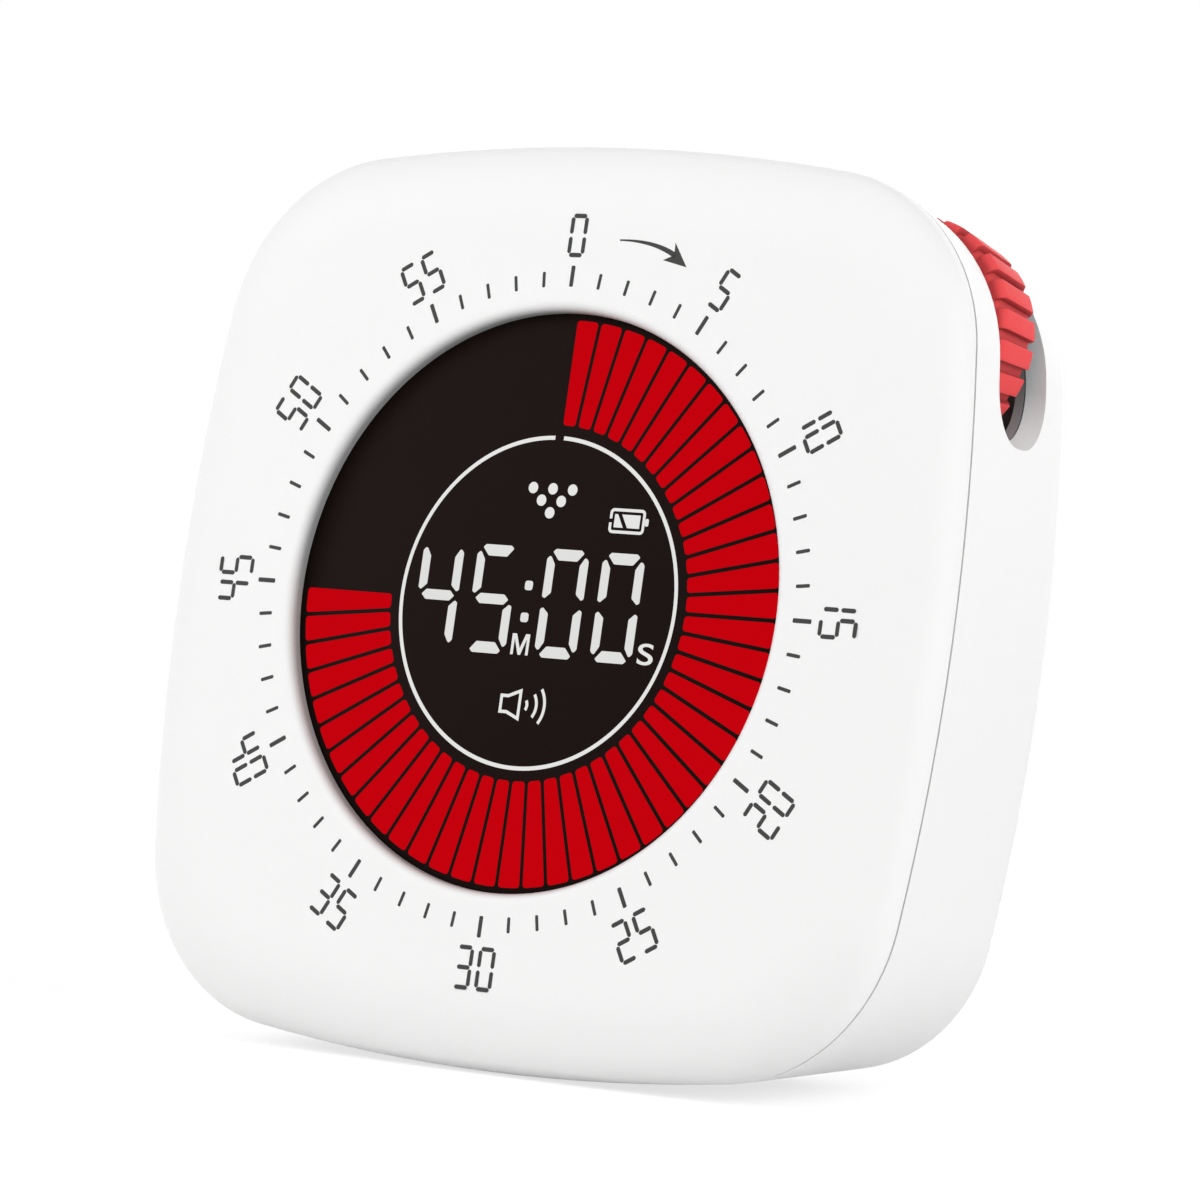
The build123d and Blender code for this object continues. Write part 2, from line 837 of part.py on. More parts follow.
def volume_switch_body():
    body_sketch = Rectangle(volume_body_length, volume_body_height)
    body = side_prism(body_sketch, 0, volume_depth, volume_face - volume_body_width, volume_face)
    channel_length = slider_length + volume_travel + 2 * slider_clearance
    channel = Rectangle(channel_length, slider_thickness + 2 * slider_fit)
    channel_floor = volume_face - slider_depth - slider_fit
    return body - side_prism(channel, 0, volume_depth, channel_floor, volume_face)


def volume_slider():
    far = side_reach(slider_y, volume_depth) + slider_proud
    sketch = Rectangle(slider_length, slider_thickness)
    slider = side_prism(sketch, slider_y, volume_depth, volume_face - slider_depth, far)
    return fillet(slider.edges().group_by(Axis.X)[0], slider_round)


mode_depth = board_back + mode_center_height
mode_face = side_reach(mode_y, seam_depth) - board_inset - mode_body_setback
plunger_end = mode_face + plunger_stand


def mode_switch_body():
    body_depth = board_back + mode_body_height / 2
    body_sketch = Rectangle(mode_body_length, mode_body_height)
    body = side_prism(body_sketch, mode_y, body_depth, mode_face - mode_body_width, mode_face)
    bore = Circle(plunger_radius + running_fit)
    bore_end = mode_face - plunger_seat - 2 * mode_travel
    return body - side_prism(bore, mode_y, mode_depth, bore_end, mode_face)


def mode_plunger():
    return side_prism(Circle(plunger_radius), mode_y, mode_depth, mode_face - plunger_seat, plunger_end)


def mode_button():
    outer_face = side_reach(mode_y, mode_depth)
    flange_face = outer_face - wall / cos(radians(draft_angle)) - button_flange_gap
    tip = outer_face + button_proud
    cap = side_prism(Circle(button_radius), mode_y, mode_depth, flange_face, tip)
    cap = fillet(cap.edges().group_by(Axis.X)[0], button_round)
    flange = Circle(button_flange_radius)
    cap += side_prism(flange, mode_y, mode_depth, flange_face - button_flange, flange_face)
    stem = Circle(button_stem_radius)
    return cap + side_prism(stem, mode_y, mode_depth, plunger_end, flange_face - button_flange)


pieces = {
    "front_shell": front_shell(),
    "rear_shell": rear_shell(),
    "case_screws": case_screws(),
    "foot_pad": foot_pad(),
    "display_window": display_window(),
    "window_adhesive": window_adhesive(),
    "lcd_front_glass": glass_sheet(front_glass_depth, glass_thickness, contact_ledge),
    "lcd_rear_glass": glass_sheet(rear_glass_depth, glass_thickness, 0),
    "diffuser_film": glass_sheet(diffuser_depth, diffuser_thickness, 0),
    "light_guide": glass_sheet(guide_depth, guide_thickness, 0),
    "reflector_sheet": glass_sheet(reflector_depth, reflector_thickness, 0),
    "lcd_frame": lcd_frame(),
    "led_strip": led_strip(),
    "backlight_leds": backlight_leds(),
    "zebra_strip": zebra_strip(),
    "main_board": main_board(),
    "board_screws": board_screws(),
    "controller_chip": controller_chip(),
    "charger_chip": charger_chip(),
    "crystal": crystal(),
    "encoder_body": encoder_body(),
    "encoder_rotor": encoder_rotor(),
    "wheel_axle": wheel_axle(),
    "thumbwheel": thumbwheel(),
    "wheel_shroud": wheel_shroud(),
    "battery_cell": battery_cell(),
    "battery_tape": battery_tape(),
    "battery_plug": battery_plug(),
    "battery_socket": battery_socket(),
    "battery_leads": battery_leads(),
    "speaker_gasket": speaker_gasket(),
    "speaker_frame": speaker_frame(),
    "speaker_cone": speaker_cone(),
    "speaker_magnet": speaker_magnet(),
    "speaker_leads": speaker_leads(),
    "usb_c_shell": usb_c_shell(),
    "usb_c_tongue": usb_c_tongue(),
    "volume_switch_body": volume_switch_body(),
    "volume_slider": volume_slider(),
    "mode_switch_body": mode_switch_body(),
    "mode_plunger": mode_plunger(),
    "mode_button": mode_button(),
}

# Stand the timer on its pad: +Z up, the face toward -Y and leaning back by the draft, origin under the pad
pad_centre = base_plane(pad_proud).from_local_coords((0, -base_length / 2, 0))
standing = Rot(90 - draft_angle, 0, 0) * Pos(-pad_centre)

os.makedirs("parts", exist_ok=True)
for name, piece in pieces.items():
    export_step(standing * piece, f"parts/{name}.step")
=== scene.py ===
import json
import math

import bmesh
import bpy
from mathutils import Matrix, Vector


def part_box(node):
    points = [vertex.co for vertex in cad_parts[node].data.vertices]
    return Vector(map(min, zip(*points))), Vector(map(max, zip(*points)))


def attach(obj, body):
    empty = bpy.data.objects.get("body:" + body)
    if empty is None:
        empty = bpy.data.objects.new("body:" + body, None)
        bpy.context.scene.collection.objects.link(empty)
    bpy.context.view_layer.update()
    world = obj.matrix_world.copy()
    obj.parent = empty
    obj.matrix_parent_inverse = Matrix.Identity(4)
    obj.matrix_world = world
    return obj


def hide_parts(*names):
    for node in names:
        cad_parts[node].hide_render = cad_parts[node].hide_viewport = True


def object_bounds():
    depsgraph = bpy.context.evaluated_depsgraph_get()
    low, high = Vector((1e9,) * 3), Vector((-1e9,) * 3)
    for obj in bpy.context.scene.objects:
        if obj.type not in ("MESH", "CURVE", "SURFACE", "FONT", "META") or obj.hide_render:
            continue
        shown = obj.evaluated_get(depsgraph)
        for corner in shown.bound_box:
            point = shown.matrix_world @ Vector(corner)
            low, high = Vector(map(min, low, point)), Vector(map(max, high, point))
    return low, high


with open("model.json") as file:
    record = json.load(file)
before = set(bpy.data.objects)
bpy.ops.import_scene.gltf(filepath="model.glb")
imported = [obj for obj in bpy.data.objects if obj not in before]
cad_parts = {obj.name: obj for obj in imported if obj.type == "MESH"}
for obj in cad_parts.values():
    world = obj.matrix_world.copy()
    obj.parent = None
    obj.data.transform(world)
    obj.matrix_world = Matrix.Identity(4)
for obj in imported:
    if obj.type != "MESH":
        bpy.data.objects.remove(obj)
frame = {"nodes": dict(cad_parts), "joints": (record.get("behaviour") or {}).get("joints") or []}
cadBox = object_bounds()
print("frame: loaded", len(frame["nodes"]), "nodes")


def boxMiddle(node):
    return sum(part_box(node), Vector()) / 2


# Pieces are drawn in millimetres on the timer's face: x right, y up, z out of it, zero at the dial's middle
mm = 0.001
joints = {joint["name"]: joint for joint in frame["joints"]}
faceJoints = ("mode_press", "volume_slide", "wheel_spin")  # along the face's x, along its y and about its z
faceAxes = [Vector(joints[name]["axis"]).normalized() for name in faceJoints]
faceTurn = Matrix(faceAxes).transposed().to_4x4()
windowMiddle = 1.75  # how deep the middle of the window lies behind the face
faceOrigin = boxMiddle("display_window") + faceAxes[2] * windowMiddle * mm
faceMatrix = Matrix.Translation(faceOrigin) @ faceTurn @ Matrix.Scale(mm, 4)
wheelSpot = faceMatrix.inverted() @ Vector(joints["wheel_spin"]["pos_m"])
wheelMiddle = boxMiddle("thumbwheel")
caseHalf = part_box("front_shell")[1].x / mm


class Wire:
    # one output of a node, which can take part in sums
    def __init__(self, finish, socket):
        self.finish = finish
        self.socket = socket

    def sum(self, operation, first, second):
        return self.finish.node("ShaderNodeMath", {"operation": operation}, {0: first, 1: second})

    def __add__(self, other):
        return self.sum("ADD", self, other)

    def __radd__(self, other):
        return self.sum("ADD", other, self)

    def __sub__(self, other):
        return self.sum("SUBTRACT", self, other)

    def __rsub__(self, other):
        return self.sum("SUBTRACT", other, self)

    def __mul__(self, other):
        return self.sum("MULTIPLY", self, other)

    def __rmul__(self, other):
        return self.sum("MULTIPLY", other, self)

    def __pow__(self, other):
        return self.sum("POWER", self, other)

    def __rpow__(self, other):
        return self.sum("POWER", other, self)

    def __gt__(self, other):
        return self.sum("GREATER_THAN", self, other)

    def __lt__(self, other):
        return self.sum("LESS_THAN", self, other)


occlusionSamples = 8


class Finish:
    # the nodes of a material, or of the world
    def __init__(self, holder, shader="Principled BSDF"):
        self.material = holder
        self.material.use_nodes = True
        self.tree = self.material.node_tree
        self.shader = self.tree.nodes[shader]
        self.place = self.node("ShaderNodeTexCoord", {}, {}, "Object")

    def node(self, kind, settings, inputs, output=0):
        made = self.tree.nodes.new(kind)
        for key, setting in settings.items():
            setattr(made, key, setting)
        for key, value in inputs.items():
            self.plug(made.inputs[key], value)
        return Wire(self, made.outputs[output])

    def plug(self, socket, value):
        if isinstance(value, Wire):
            self.tree.links.new(value.socket, socket)
        else:
            socket.default_value = value

    def noise(self, size, detail=2, place=None):
        # soft blotches about this many millimetres across, from 0 to 1
        inputs = {"Vector": place or self.place, "Scale": 1 / (size * mm), "Detail": detail}
        return self.node("ShaderNodeTexNoise", {}, inputs)

    def openness(self, reach, onlyLocal=False):
        # one on an open surface, less where something stands within this many millimetres
        settings = {"samples": occlusionSamples, "only_local": onlyLocal}
        return self.node("ShaderNodeAmbientOcclusion", settings, {"Distance": reach * mm}, "AO")

    def vary(self, share, low, high):
        # a value that runs from low to high
        return share * (high - low) + low

    def mix(self, share, first, second):
        return self.node("ShaderNodeMix", {"data_type": "RGBA"}, {0: share, 6: first, 7: second}, 2)

    def looked(self):
        # one where something is seen straight, in a mirror or through glass, nought where it only gives light
        seen = self.node("ShaderNodeLightPath", {}, {}, "Is Camera Ray")
        for ray in ("Is Glossy Ray", "Is Transmission Ray"):
            seen = seen.sum("MAXIMUM", seen, self.node("ShaderNodeLightPath", {}, {}, ray))
        return seen

    def bump(self, height, depth):
        return self.node("ShaderNodeBump", {}, {"Height": height, "Distance": depth * mm, "Strength": 1.0})

    def wear(self, sockets):
        for key, value in sockets.items():
            self.plug(self.shader.inputs[key], value)
        return self.material


def newFinish(name):
    return Finish(bpy.data.materials.new(name))


def tint(colour, factor=1.0):
    return (colour[0] * factor, colour[1] * factor, colour[2] * factor, 1)


# Sizes and depths of grain are in millimetres, and shade is how far the colour wanders
fineGrain = {"size": 0.16, "depth": 0.0035, "shade": 0.006}
coarseGrain = {"size": 0.3, "depth": 0.008, "shade": 0.04}
rubberGrain = {"size": 0.5, "depth": 0.03, "shade": 0.08}
foamGrain = {"size": 0.25, "depth": 0.06, "shade": 0.2}
moulding = {"cloud": 14, "cloudDetail": 3, "sheen": 0.8, "sheenSpread": 0.04}


def mouldedLook(finish, colour, roughness, grain):
    # a faint cloudiness, a fine eroded grain and a gloss that wanders
    cloud = finish.noise(moulding["cloud"], moulding["cloudDetail"])
    sheen = finish.noise(moulding["sheen"])
    spread = moulding["sheenSpread"]
    return {
        "Base Color": finish.mix(cloud, tint(colour, 1 - grain["shade"]), tint(colour, 1 + grain["shade"])),
        "Roughness": finish.vary(sheen, roughness - spread, roughness + spread),
        "Normal": finish.bump(finish.noise(grain["size"]), grain["depth"]),
    }


def mouldedPlastic(name, colour, roughness, grain, extra=None):
    finish = newFinish(name)
    look = mouldedLook(finish, colour, roughness, grain)
    look.update(extra or {})
    return finish.wear(look)


# The seam, lip and slot colours are painted shade, laid on where the case is enclosed
shell = {
    "colour": (0.915, 0.915, 0.912), "roughness": 0.46, "gloss": 0.2,
    "seam": {"colour": (0.77, 0.77, 0.77), "reach": 1.2, "power": 1.6},
    "lip": {"colour": (0.2, 0.208, 0.208), "reach": 8.0, "power": 3.2},
    "slot": {"colour": (0.66, 0.96, 0.96), "reach": 9.0, "power": 1.0, "around": 19.0, "deeper": 11.0},
}


def shellPlastic(name, paintedShade, slot=None):
    # the case's white plastic: moulded as the rest, with painted shade, a darker grey laid into its seams and
    # holes by how enclosed they are
    finish = newFinish(name)
    look = mouldedLook(finish, shell["colour"], shell["roughness"], fineGrain)
    clean = look["Base Color"]

    # lays painted shade over the clean colour where something stands within the reach
    def toned(tone):
        closeness = 1 - finish.openness(tone["reach"]) ** tone["power"]
        return finish.mix(closeness, clean, tint(tone["colour"]))

    colour = toned(paintedShade)
    if slot:
        # painted shade inside the wheel's slot: darker and cooler there, against the red light that the wheel
        # throws
        ends = {0: finish.place, 1: wheelMiddle - faceAxes[2] * slot["deeper"] * mm}
        away = finish.node("ShaderNodeVectorMath", {"operation": "DISTANCE"}, ends, "Value")
        colour = finish.mix(away < slot["around"] * mm, colour, toned(slot))
    look.update({"Base Color": colour, "Specular IOR Level": shell["gloss"]})
    return finish.wear(look)


# The groove colour is painted shade for the wheel's grooves
ribbed = {
    "crown": (0.86, 0.084, 0.088), "groove": (0.27, 0.042, 0.046), "reach": 1.1, "power": 1.6,
    "cloud": 3, "fading": (0.97, 1.03), "sheen": 0.7, "roughness": (0.45, 0.55), "gloss": 0.06,
    "grain": 0.14, "grainDepth": 0.003,
}


def ribbedPlastic(name):
    # tinted plastic with painted shade: the grooves take a deeper colour than the crowns by how enclosed they
    # are, and the colour wanders a little at random
    finish = newFinish(name)
    fading = finish.vary(finish.noise(ribbed["cloud"]), *ribbed["fading"])
    share = finish.openness(ribbed["reach"], True) ** ribbed["power"] * fading
    return finish.wear({
        "Base Color": finish.mix(share, tint(ribbed["groove"]), tint(ribbed["crown"])),
        "Roughness": finish.vary(finish.noise(ribbed["sheen"]), *ribbed["roughness"]),
        "Specular IOR Level": ribbed["gloss"],
        "Normal": finish.bump(finish.noise(ribbed["grain"]), ribbed["grainDepth"]),
    })


brushed = {
    "stretch": 0.08, "line": 0.12, "lineDetail": 3, "depth": 0.004,
    "dark": 0.86, "bright": 1.08, "spread": 0.08,
}


def brushedMetal(name, colour, roughness):
    # metal with fine drawn lines along x
    finish = newFinish(name)
    stretch = {"Vector": finish.place, "Scale": (brushed["stretch"], 1, 1)}
    lines = finish.node("ShaderNodeMapping", {}, stretch)
    streaks = finish.noise(brushed["line"], brushed["lineDetail"], lines)
    spread = brushed["spread"]
    return finish.wear({
        "Base Color": finish.mix(streaks, tint(colour, brushed["dark"]), tint(colour, brushed["bright"])),
        "Roughness": finish.vary(streaks, roughness - spread, roughness + spread),
        "Metallic": 1.0,
        "Normal": finish.bump(streaks, brushed["depth"]),
    })


segment = {
    "unlit": (0.0012, 0.0003, 0.0003), "glow": 9, "glowShare": 0.7, "cell": 0.09, "cellDetail": 1,
    "roughness": (0.3, 0.4),
}


def litGlass(name, colour, spread):
    # a lit display segment: the backlight is a touch uneven and the liquid crystal has a fine cell pattern
    finish = newFinish(name)
    cells = finish.noise(segment["cell"], segment["cellDetail"])
    level = finish.noise(segment["glow"]) * segment["glowShare"] + cells * (1 - segment["glowShare"])
    return finish.wear({
        "Base Color": tint(segment["unlit"]),
        "Roughness": finish.vary(cells, *segment["roughness"]),
        "Specular IOR Level": 0.0,
        "Emission Color": finish.mix(level, tint(colour, 1 - spread), tint(colour, 1 + spread)),
        "Emission Strength": 1.0,
    })


smoked = {
    "dark": (0.0111, 0.0066, 0.0056), "pale": (0.0129, 0.0078, 0.0067), "veil": 11,
    "hairline": 1.6, "hairlineDetail": 3, "roughness": (0.3, 0.38), "gloss": 0.008,
}


def smokedWindow(name):
    # coated black window: no mirror image, a faint warm tint and a few hairlines in the gloss
    finish = newFinish(name)
    hairlines = finish.noise(smoked["hairline"], smoked["hairlineDetail"])
    return finish.wear({
        "Base Color": finish.mix(finish.noise(smoked["veil"]), tint(smoked["dark"]), tint(smoked["pale"])),
        "Roughness": finish.vary(hairlines, *smoked["roughness"]),
        "Specular IOR Level": smoked["gloss"],
    })


inking = {
    "colour": (0.024, 0.023, 0.0225), "patch": 0.22, "patchDetail": 3, "thin": 1.18, "full": 0.86,
    "roughness": (0.5, 0.62), "gloss": 0.3, "depth": 0.003,
}


def printInk(name):
    # pad-printed ink: slightly thin in places, with a dry surface
    finish = newFinish(name)
    coat = finish.noise(inking["patch"], inking["patchDetail"])
    thin, full = (tint(inking["colour"], inking[state]) for state in ("thin", "full"))
    return finish.wear({
        "Base Color": finish.mix(coat, thin, full),
        "Roughness": finish.vary(coat, *inking["roughness"]),
        "Specular IOR Level": inking["gloss"],
        "Normal": finish.bump(coat, inking["depth"]),
    })


circuit = {
    "mask": (0.008, 0.07, 0.03), "copper": (0.016, 0.12, 0.05), "pour": 6, "pourDetail": 1, "pourEdge": 0.5,
    "pourShare": 0.6, "pourDepth": 0.02, "weave": 0.35, "roughness": (0.3, 0.4),
}


def circuitBoard(name):
    # green solder mask over a faint weave, with copper pours showing a little lighter
    finish = newFinish(name)
    pours = finish.noise(circuit["pour"], circuit["pourDetail"]) > circuit["pourEdge"]
    weave = finish.noise(circuit["weave"])
    share = pours * circuit["pourShare"] + weave * (1 - circuit["pourShare"])
    return finish.wear({
        "Base Color": finish.mix(share, tint(circuit["mask"]), tint(circuit["copper"])),
        "Roughness": finish.vary(weave, *circuit["roughness"]),
        "Normal": finish.bump(pours, circuit["pourDepth"]),
    })


zebra = {
    "clear": (0.5, 0.5, 0.48), "carbon": (0.015, 0.015, 0.015), "waves": 5000.0, "edge": 0.5,
    "roughness": (0.6, 0.7),
}


def zebraRubber(name):
    # contact strip: thin conducting layers between clear ones, along x
    finish = newFinish(name)
    waves = {"Vector": finish.place, "Scale": zebra["waves"]}
    layers = finish.node("ShaderNodeTexWave", {"bands_direction": "X"}, waves)
    return finish.wear({
        "Base Color": finish.mix(layers > zebra["edge"], tint(zebra["clear"]), tint(zebra["carbon"])),
        "Roughness": finish.vary(layers, *zebra["roughness"]),
    })


leads = {
    "black": (0.016, 0.016, 0.016), "red": (0.5, 0.02, 0.02), "sheen": 0.4, "roughness": (0.45, 0.55),
    "batterySplit": 0, "voiceSplit": -18,
}


def pairedLead(name, split):
    # insulation, black to the left of the split in x and red to the right of it
    finish = newFinish(name)
    across = finish.node("ShaderNodeSeparateXYZ", {}, {"Vector": finish.place})
    return finish.wear({
        "Base Color": finish.mix(across > split * mm, tint(leads["black"]), tint(leads["red"])),
        "Roughness": finish.vary(finish.noise(leads["sheen"]), *leads["roughness"]),
    })


seeThrough = {"Transmission Weight": 0.8}
finishes = {
    # the case's finishes carry painted shade in seams, holes, the wheel's slot and on the lip
    "white_shell": shellPlastic("shellPlastic", shell["seam"]),
    "slot_painted_shade_shell": shellPlastic("slotPaintedShadePlastic", shell["seam"], shell["slot"]),
    "lip_painted_shade": shellPlastic("lipPaintedShadePlastic", shell["lip"]),
    "red_plastic": ribbedPlastic("wheelPaintedShadePlastic"),
    # painted shade: the wheel's flat sides and web are a deeper red
    "wheel_side_painted_shade": mouldedPlastic("wheelSidePaintedShade", (0.26, 0.02, 0.022), 0.5, coarseGrain),
    "black_plastic": mouldedPlastic("blackPlastic", (0.03, 0.03, 0.031), 0.5, coarseGrain),
    "grey_plastic": mouldedPlastic("controlPlastic", (0.33, 0.33, 0.34), 0.45, coarseGrain),
    "white_plastic": mouldedPlastic("nylon", (0.8, 0.79, 0.75), 0.5, coarseGrain),
    "shroud": mouldedPlastic("shroudPlastic", (0.25, 0.262, 0.265), 0.55, coarseGrain),
    "foot_rubber": mouldedPlastic("footRubber", (0.12, 0.12, 0.122), 0.82, rubberGrain),
    "chip": mouldedPlastic("moulding", (0.022, 0.022, 0.024), 0.6, coarseGrain),
    "foam": mouldedPlastic("closedFoam", (0.05, 0.05, 0.05), 0.95, foamGrain),
    "cone": mouldedPlastic("coneFilm", (0.08, 0.08, 0.085), 0.4, coarseGrain),
    "film": mouldedPlastic("filmSheet", (0.86, 0.87, 0.88), 0.35, fineGrain),
    "tape": mouldedPlastic("foamTape", (0.75, 0.73, 0.66), 0.8, coarseGrain),
    "adhesive": mouldedPlastic("adhesiveRing", (0.02, 0.02, 0.02), 0.7, coarseGrain),
    "light_guide": mouldedPlastic("acrylic", (0.82, 0.86, 0.88), 0.12, fineGrain, seeThrough),
    "lcd_glass": mouldedPlastic("cellGlass", (0.03, 0.03, 0.034), 0.1, fineGrain),
    "led": mouldedPlastic("ledLens", (0.86, 0.78, 0.3), 0.25, fineGrain),
    "battery_foil": brushedMetal("pouchFoil", (0.72, 0.73, 0.75), 0.38),
    "steel": brushedMetal("screwSteel", (0.62, 0.62, 0.63), 0.32),
    "magnet": brushedMetal("magnetPlate", (0.48, 0.48, 0.5), 0.4),
    "window": smokedWindow("smokedWindow"),
    "lit_red": litGlass("litRed", (0.55, 0.0004, 0.0042), 0.05),
    "lit_white": litGlass("litWhite", (0.79, 0.79, 0.782), 0.04),
    "lit_time": litGlass("litTime", (0.745, 0.745, 0.738), 0.04),
    "ink": printInk("dialInk"),
    "board": circuitBoard("solderMask"),
    "zebra_rubber": zebraRubber("zebraRubber"),
    "lead_rubber": pairedLead("leadRubber", leads["batterySplit"]),
    "voice_lead": pairedLead("voiceLead", leads["voiceSplit"]),
}
print("finishes:", len(bpy.data.materials), "materials")

# The other nodes take the finish that is named as their slot is
ownFinishes = {"rear_shell": "slot_painted_shade_shell", "speaker_leads": "voice_lead", "wheel_shroud": "shroud"}
for name, node in frame["nodes"].items():
    for holder in node.material_slots:
        holder.material = finishes[ownFinishes.get(name, holder.material.name)]


def makePiece(name, bm, finish, body, nodes=(), sharpAngle=32):
    # turns a drawing on the face into a finished piece that rides on its body, crisp above so many degrees
    bmesh.ops.transform(bm, matrix=faceMatrix, verts=bm.verts)
    for edge in bm.edges:
        edge.smooth = edge.calc_face_angle(0) < math.radians(sharpAngle)
    for face in bm.faces:
        face.smooth = True
    mesh = bpy.data.meshes.new(name)
    bm.to_mesh(mesh)
    bm.free()
    mesh.materials.append(finishes[finish])
    piece = bpy.data.objects.new(name, mesh)
    bpy.context.scene.collection.objects.link(piece)
    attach(piece, body)
    if nodes:
        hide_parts(*nodes)
    return piece


def facesOf(geom):
    return [part for part in geom if isinstance(part, bmesh.types.BMFace)]


def edgesOf(geom):
    return [part for part in geom if isinstance(part, bmesh.types.BMEdge)]


def vertsOf(geom):
    return [part for part in geom if isinstance(part, bmesh.types.BMVert)]


def everything(bm):
    return bm.verts[:] + bm.edges[:] + bm.faces[:]


def roundEdges(bm, edges, radius, steps):
    bmesh.ops.bevel(
        bm, geom=edges, offset=radius, segments=steps, profile=0.5, affect="EDGES", material=-1,
        clamp_overlap=True,
    )


def sharpEdges(bm, degrees):
    return [edge for edge in bm.edges if edge.calc_face_angle(0) > math.radians(degrees)]


def quarterAngles(steps):
    return [math.pi / 2 * step / steps for step in range(steps + 1)]


def lift(bm, face, height):
    # pulls a face straight out of the drawing
    top = facesOf(bmesh.ops.extrude_face_region(bm, geom=[face])["geom"])[0]
    bmesh.ops.translate(bm, vec=(0, 0, height), verts=top.verts)
    return top


def stepIn(bm, face, inset, rise):
    # one parallel step of a face toward its middle, with a rise along its normal
    bmesh.ops.inset_region(
        bm, faces=[face], thickness=inset, depth=rise, use_even_offset=True, use_boundary=True
    )


def stepLoop(bm, edges, scale, rise):
    # one step of an open round edge: a new loop, scaled about the middle and moved along z
    made = bmesh.ops.extrude_edge_only(bm, edges=edges)["geom"]
    fresh = vertsOf(made)
    bmesh.ops.scale(bm, vec=(scale, scale, 1), verts=fresh)
    bmesh.ops.translate(bm, vec=(0, 0, rise), verts=fresh)
    return [edge for edge in edgesOf(made) if all(vert in fresh for vert in edge.verts)]


def openFace(bm, face):
    # takes a face away and keeps its rim
    rim = list(face.edges)
    bmesh.ops.delete(bm, geom=[face], context="FACES_ONLY")
    return rim


def ring(bm, radius, height, segments):
    place = Matrix.Translation((0, 0, height))
    verts = bmesh.ops.create_circle(bm, segments=segments, radius=radius, matrix=place)["verts"]
    return list({edge for vert in verts for edge in vert.link_edges})


def bridgeFlat(bm, outer, inner):
    # joins two loops in one plane: the inner one steps down meanwhile, so that both are taken one way round
    verts = list({vert for edge in inner for vert in edge.verts})
    bmesh.ops.translate(bm, vec=(0, 0, -1), verts=verts)
    bmesh.ops.bridge_loops(bm, edges=outer + inner)
    bmesh.ops.translate(bm, vec=(0, 0, 1), verts=verts)


outline = {"sideRadius": 195.0, "cornerRadius": 16.35, "sideSteps": 8, "cornerSteps": 30, "weld": 0.01}


def outlineFace(bm, height):
    # the case's outline: for each quarter an arc along the side and an arc round the corner
    bow = outline["sideRadius"] - caseHalf
    corner = (math.sqrt(2 * (outline["sideRadius"] - outline["cornerRadius"]) ** 2 - bow**2) - bow) / 2
    sweep = math.atan2(corner, corner + bow)
    tip = bm.verts.new((caseHalf, 0, height))
    for quarter in range(4):
        turn = Matrix.Rotation(quarter * math.pi / 2, 3, "Z")
        arcs = [
            ((-bow, 0, height), sweep, outline["sideSteps"]),
            ((corner, corner, height), math.pi / 2 - 2 * sweep, outline["cornerSteps"]),
            ((0, -bow, height), sweep, outline["sideSteps"]),
        ]
        for middle, angle, steps in arcs:
            around = turn @ Vector(middle)
            spun = bmesh.ops.spin(bm, geom=[tip], cent=around, axis=(0, 0, 1), angle=angle, steps=steps)
            tip = vertsOf(spun["geom_last"])[0]
    bmesh.ops.remove_doubles(bm, verts=bm.verts, dist=outline["weld"])
    face = facesOf(bmesh.ops.contextual_create(bm, geom=bm.edges)["faces"])[0]
    if face.normal.z < 0:
        bmesh.ops.reverse_faces(bm, faces=[face])
    return face


cover = {
    "seam": 4.35, "edgeDepth": 3.6, "edgeInset": 7.6, "edgeSteps": 16, "hold": 0.2,
    "rimWidth": 1.0, "rimHeight": 1.4, "wall": 3.2, "inside": 2.0,
    "opening": 25.05, "lipRound": 0.9, "lipSteps": 8, "lipDepth": 1.4, "pocket": 26.5,
}


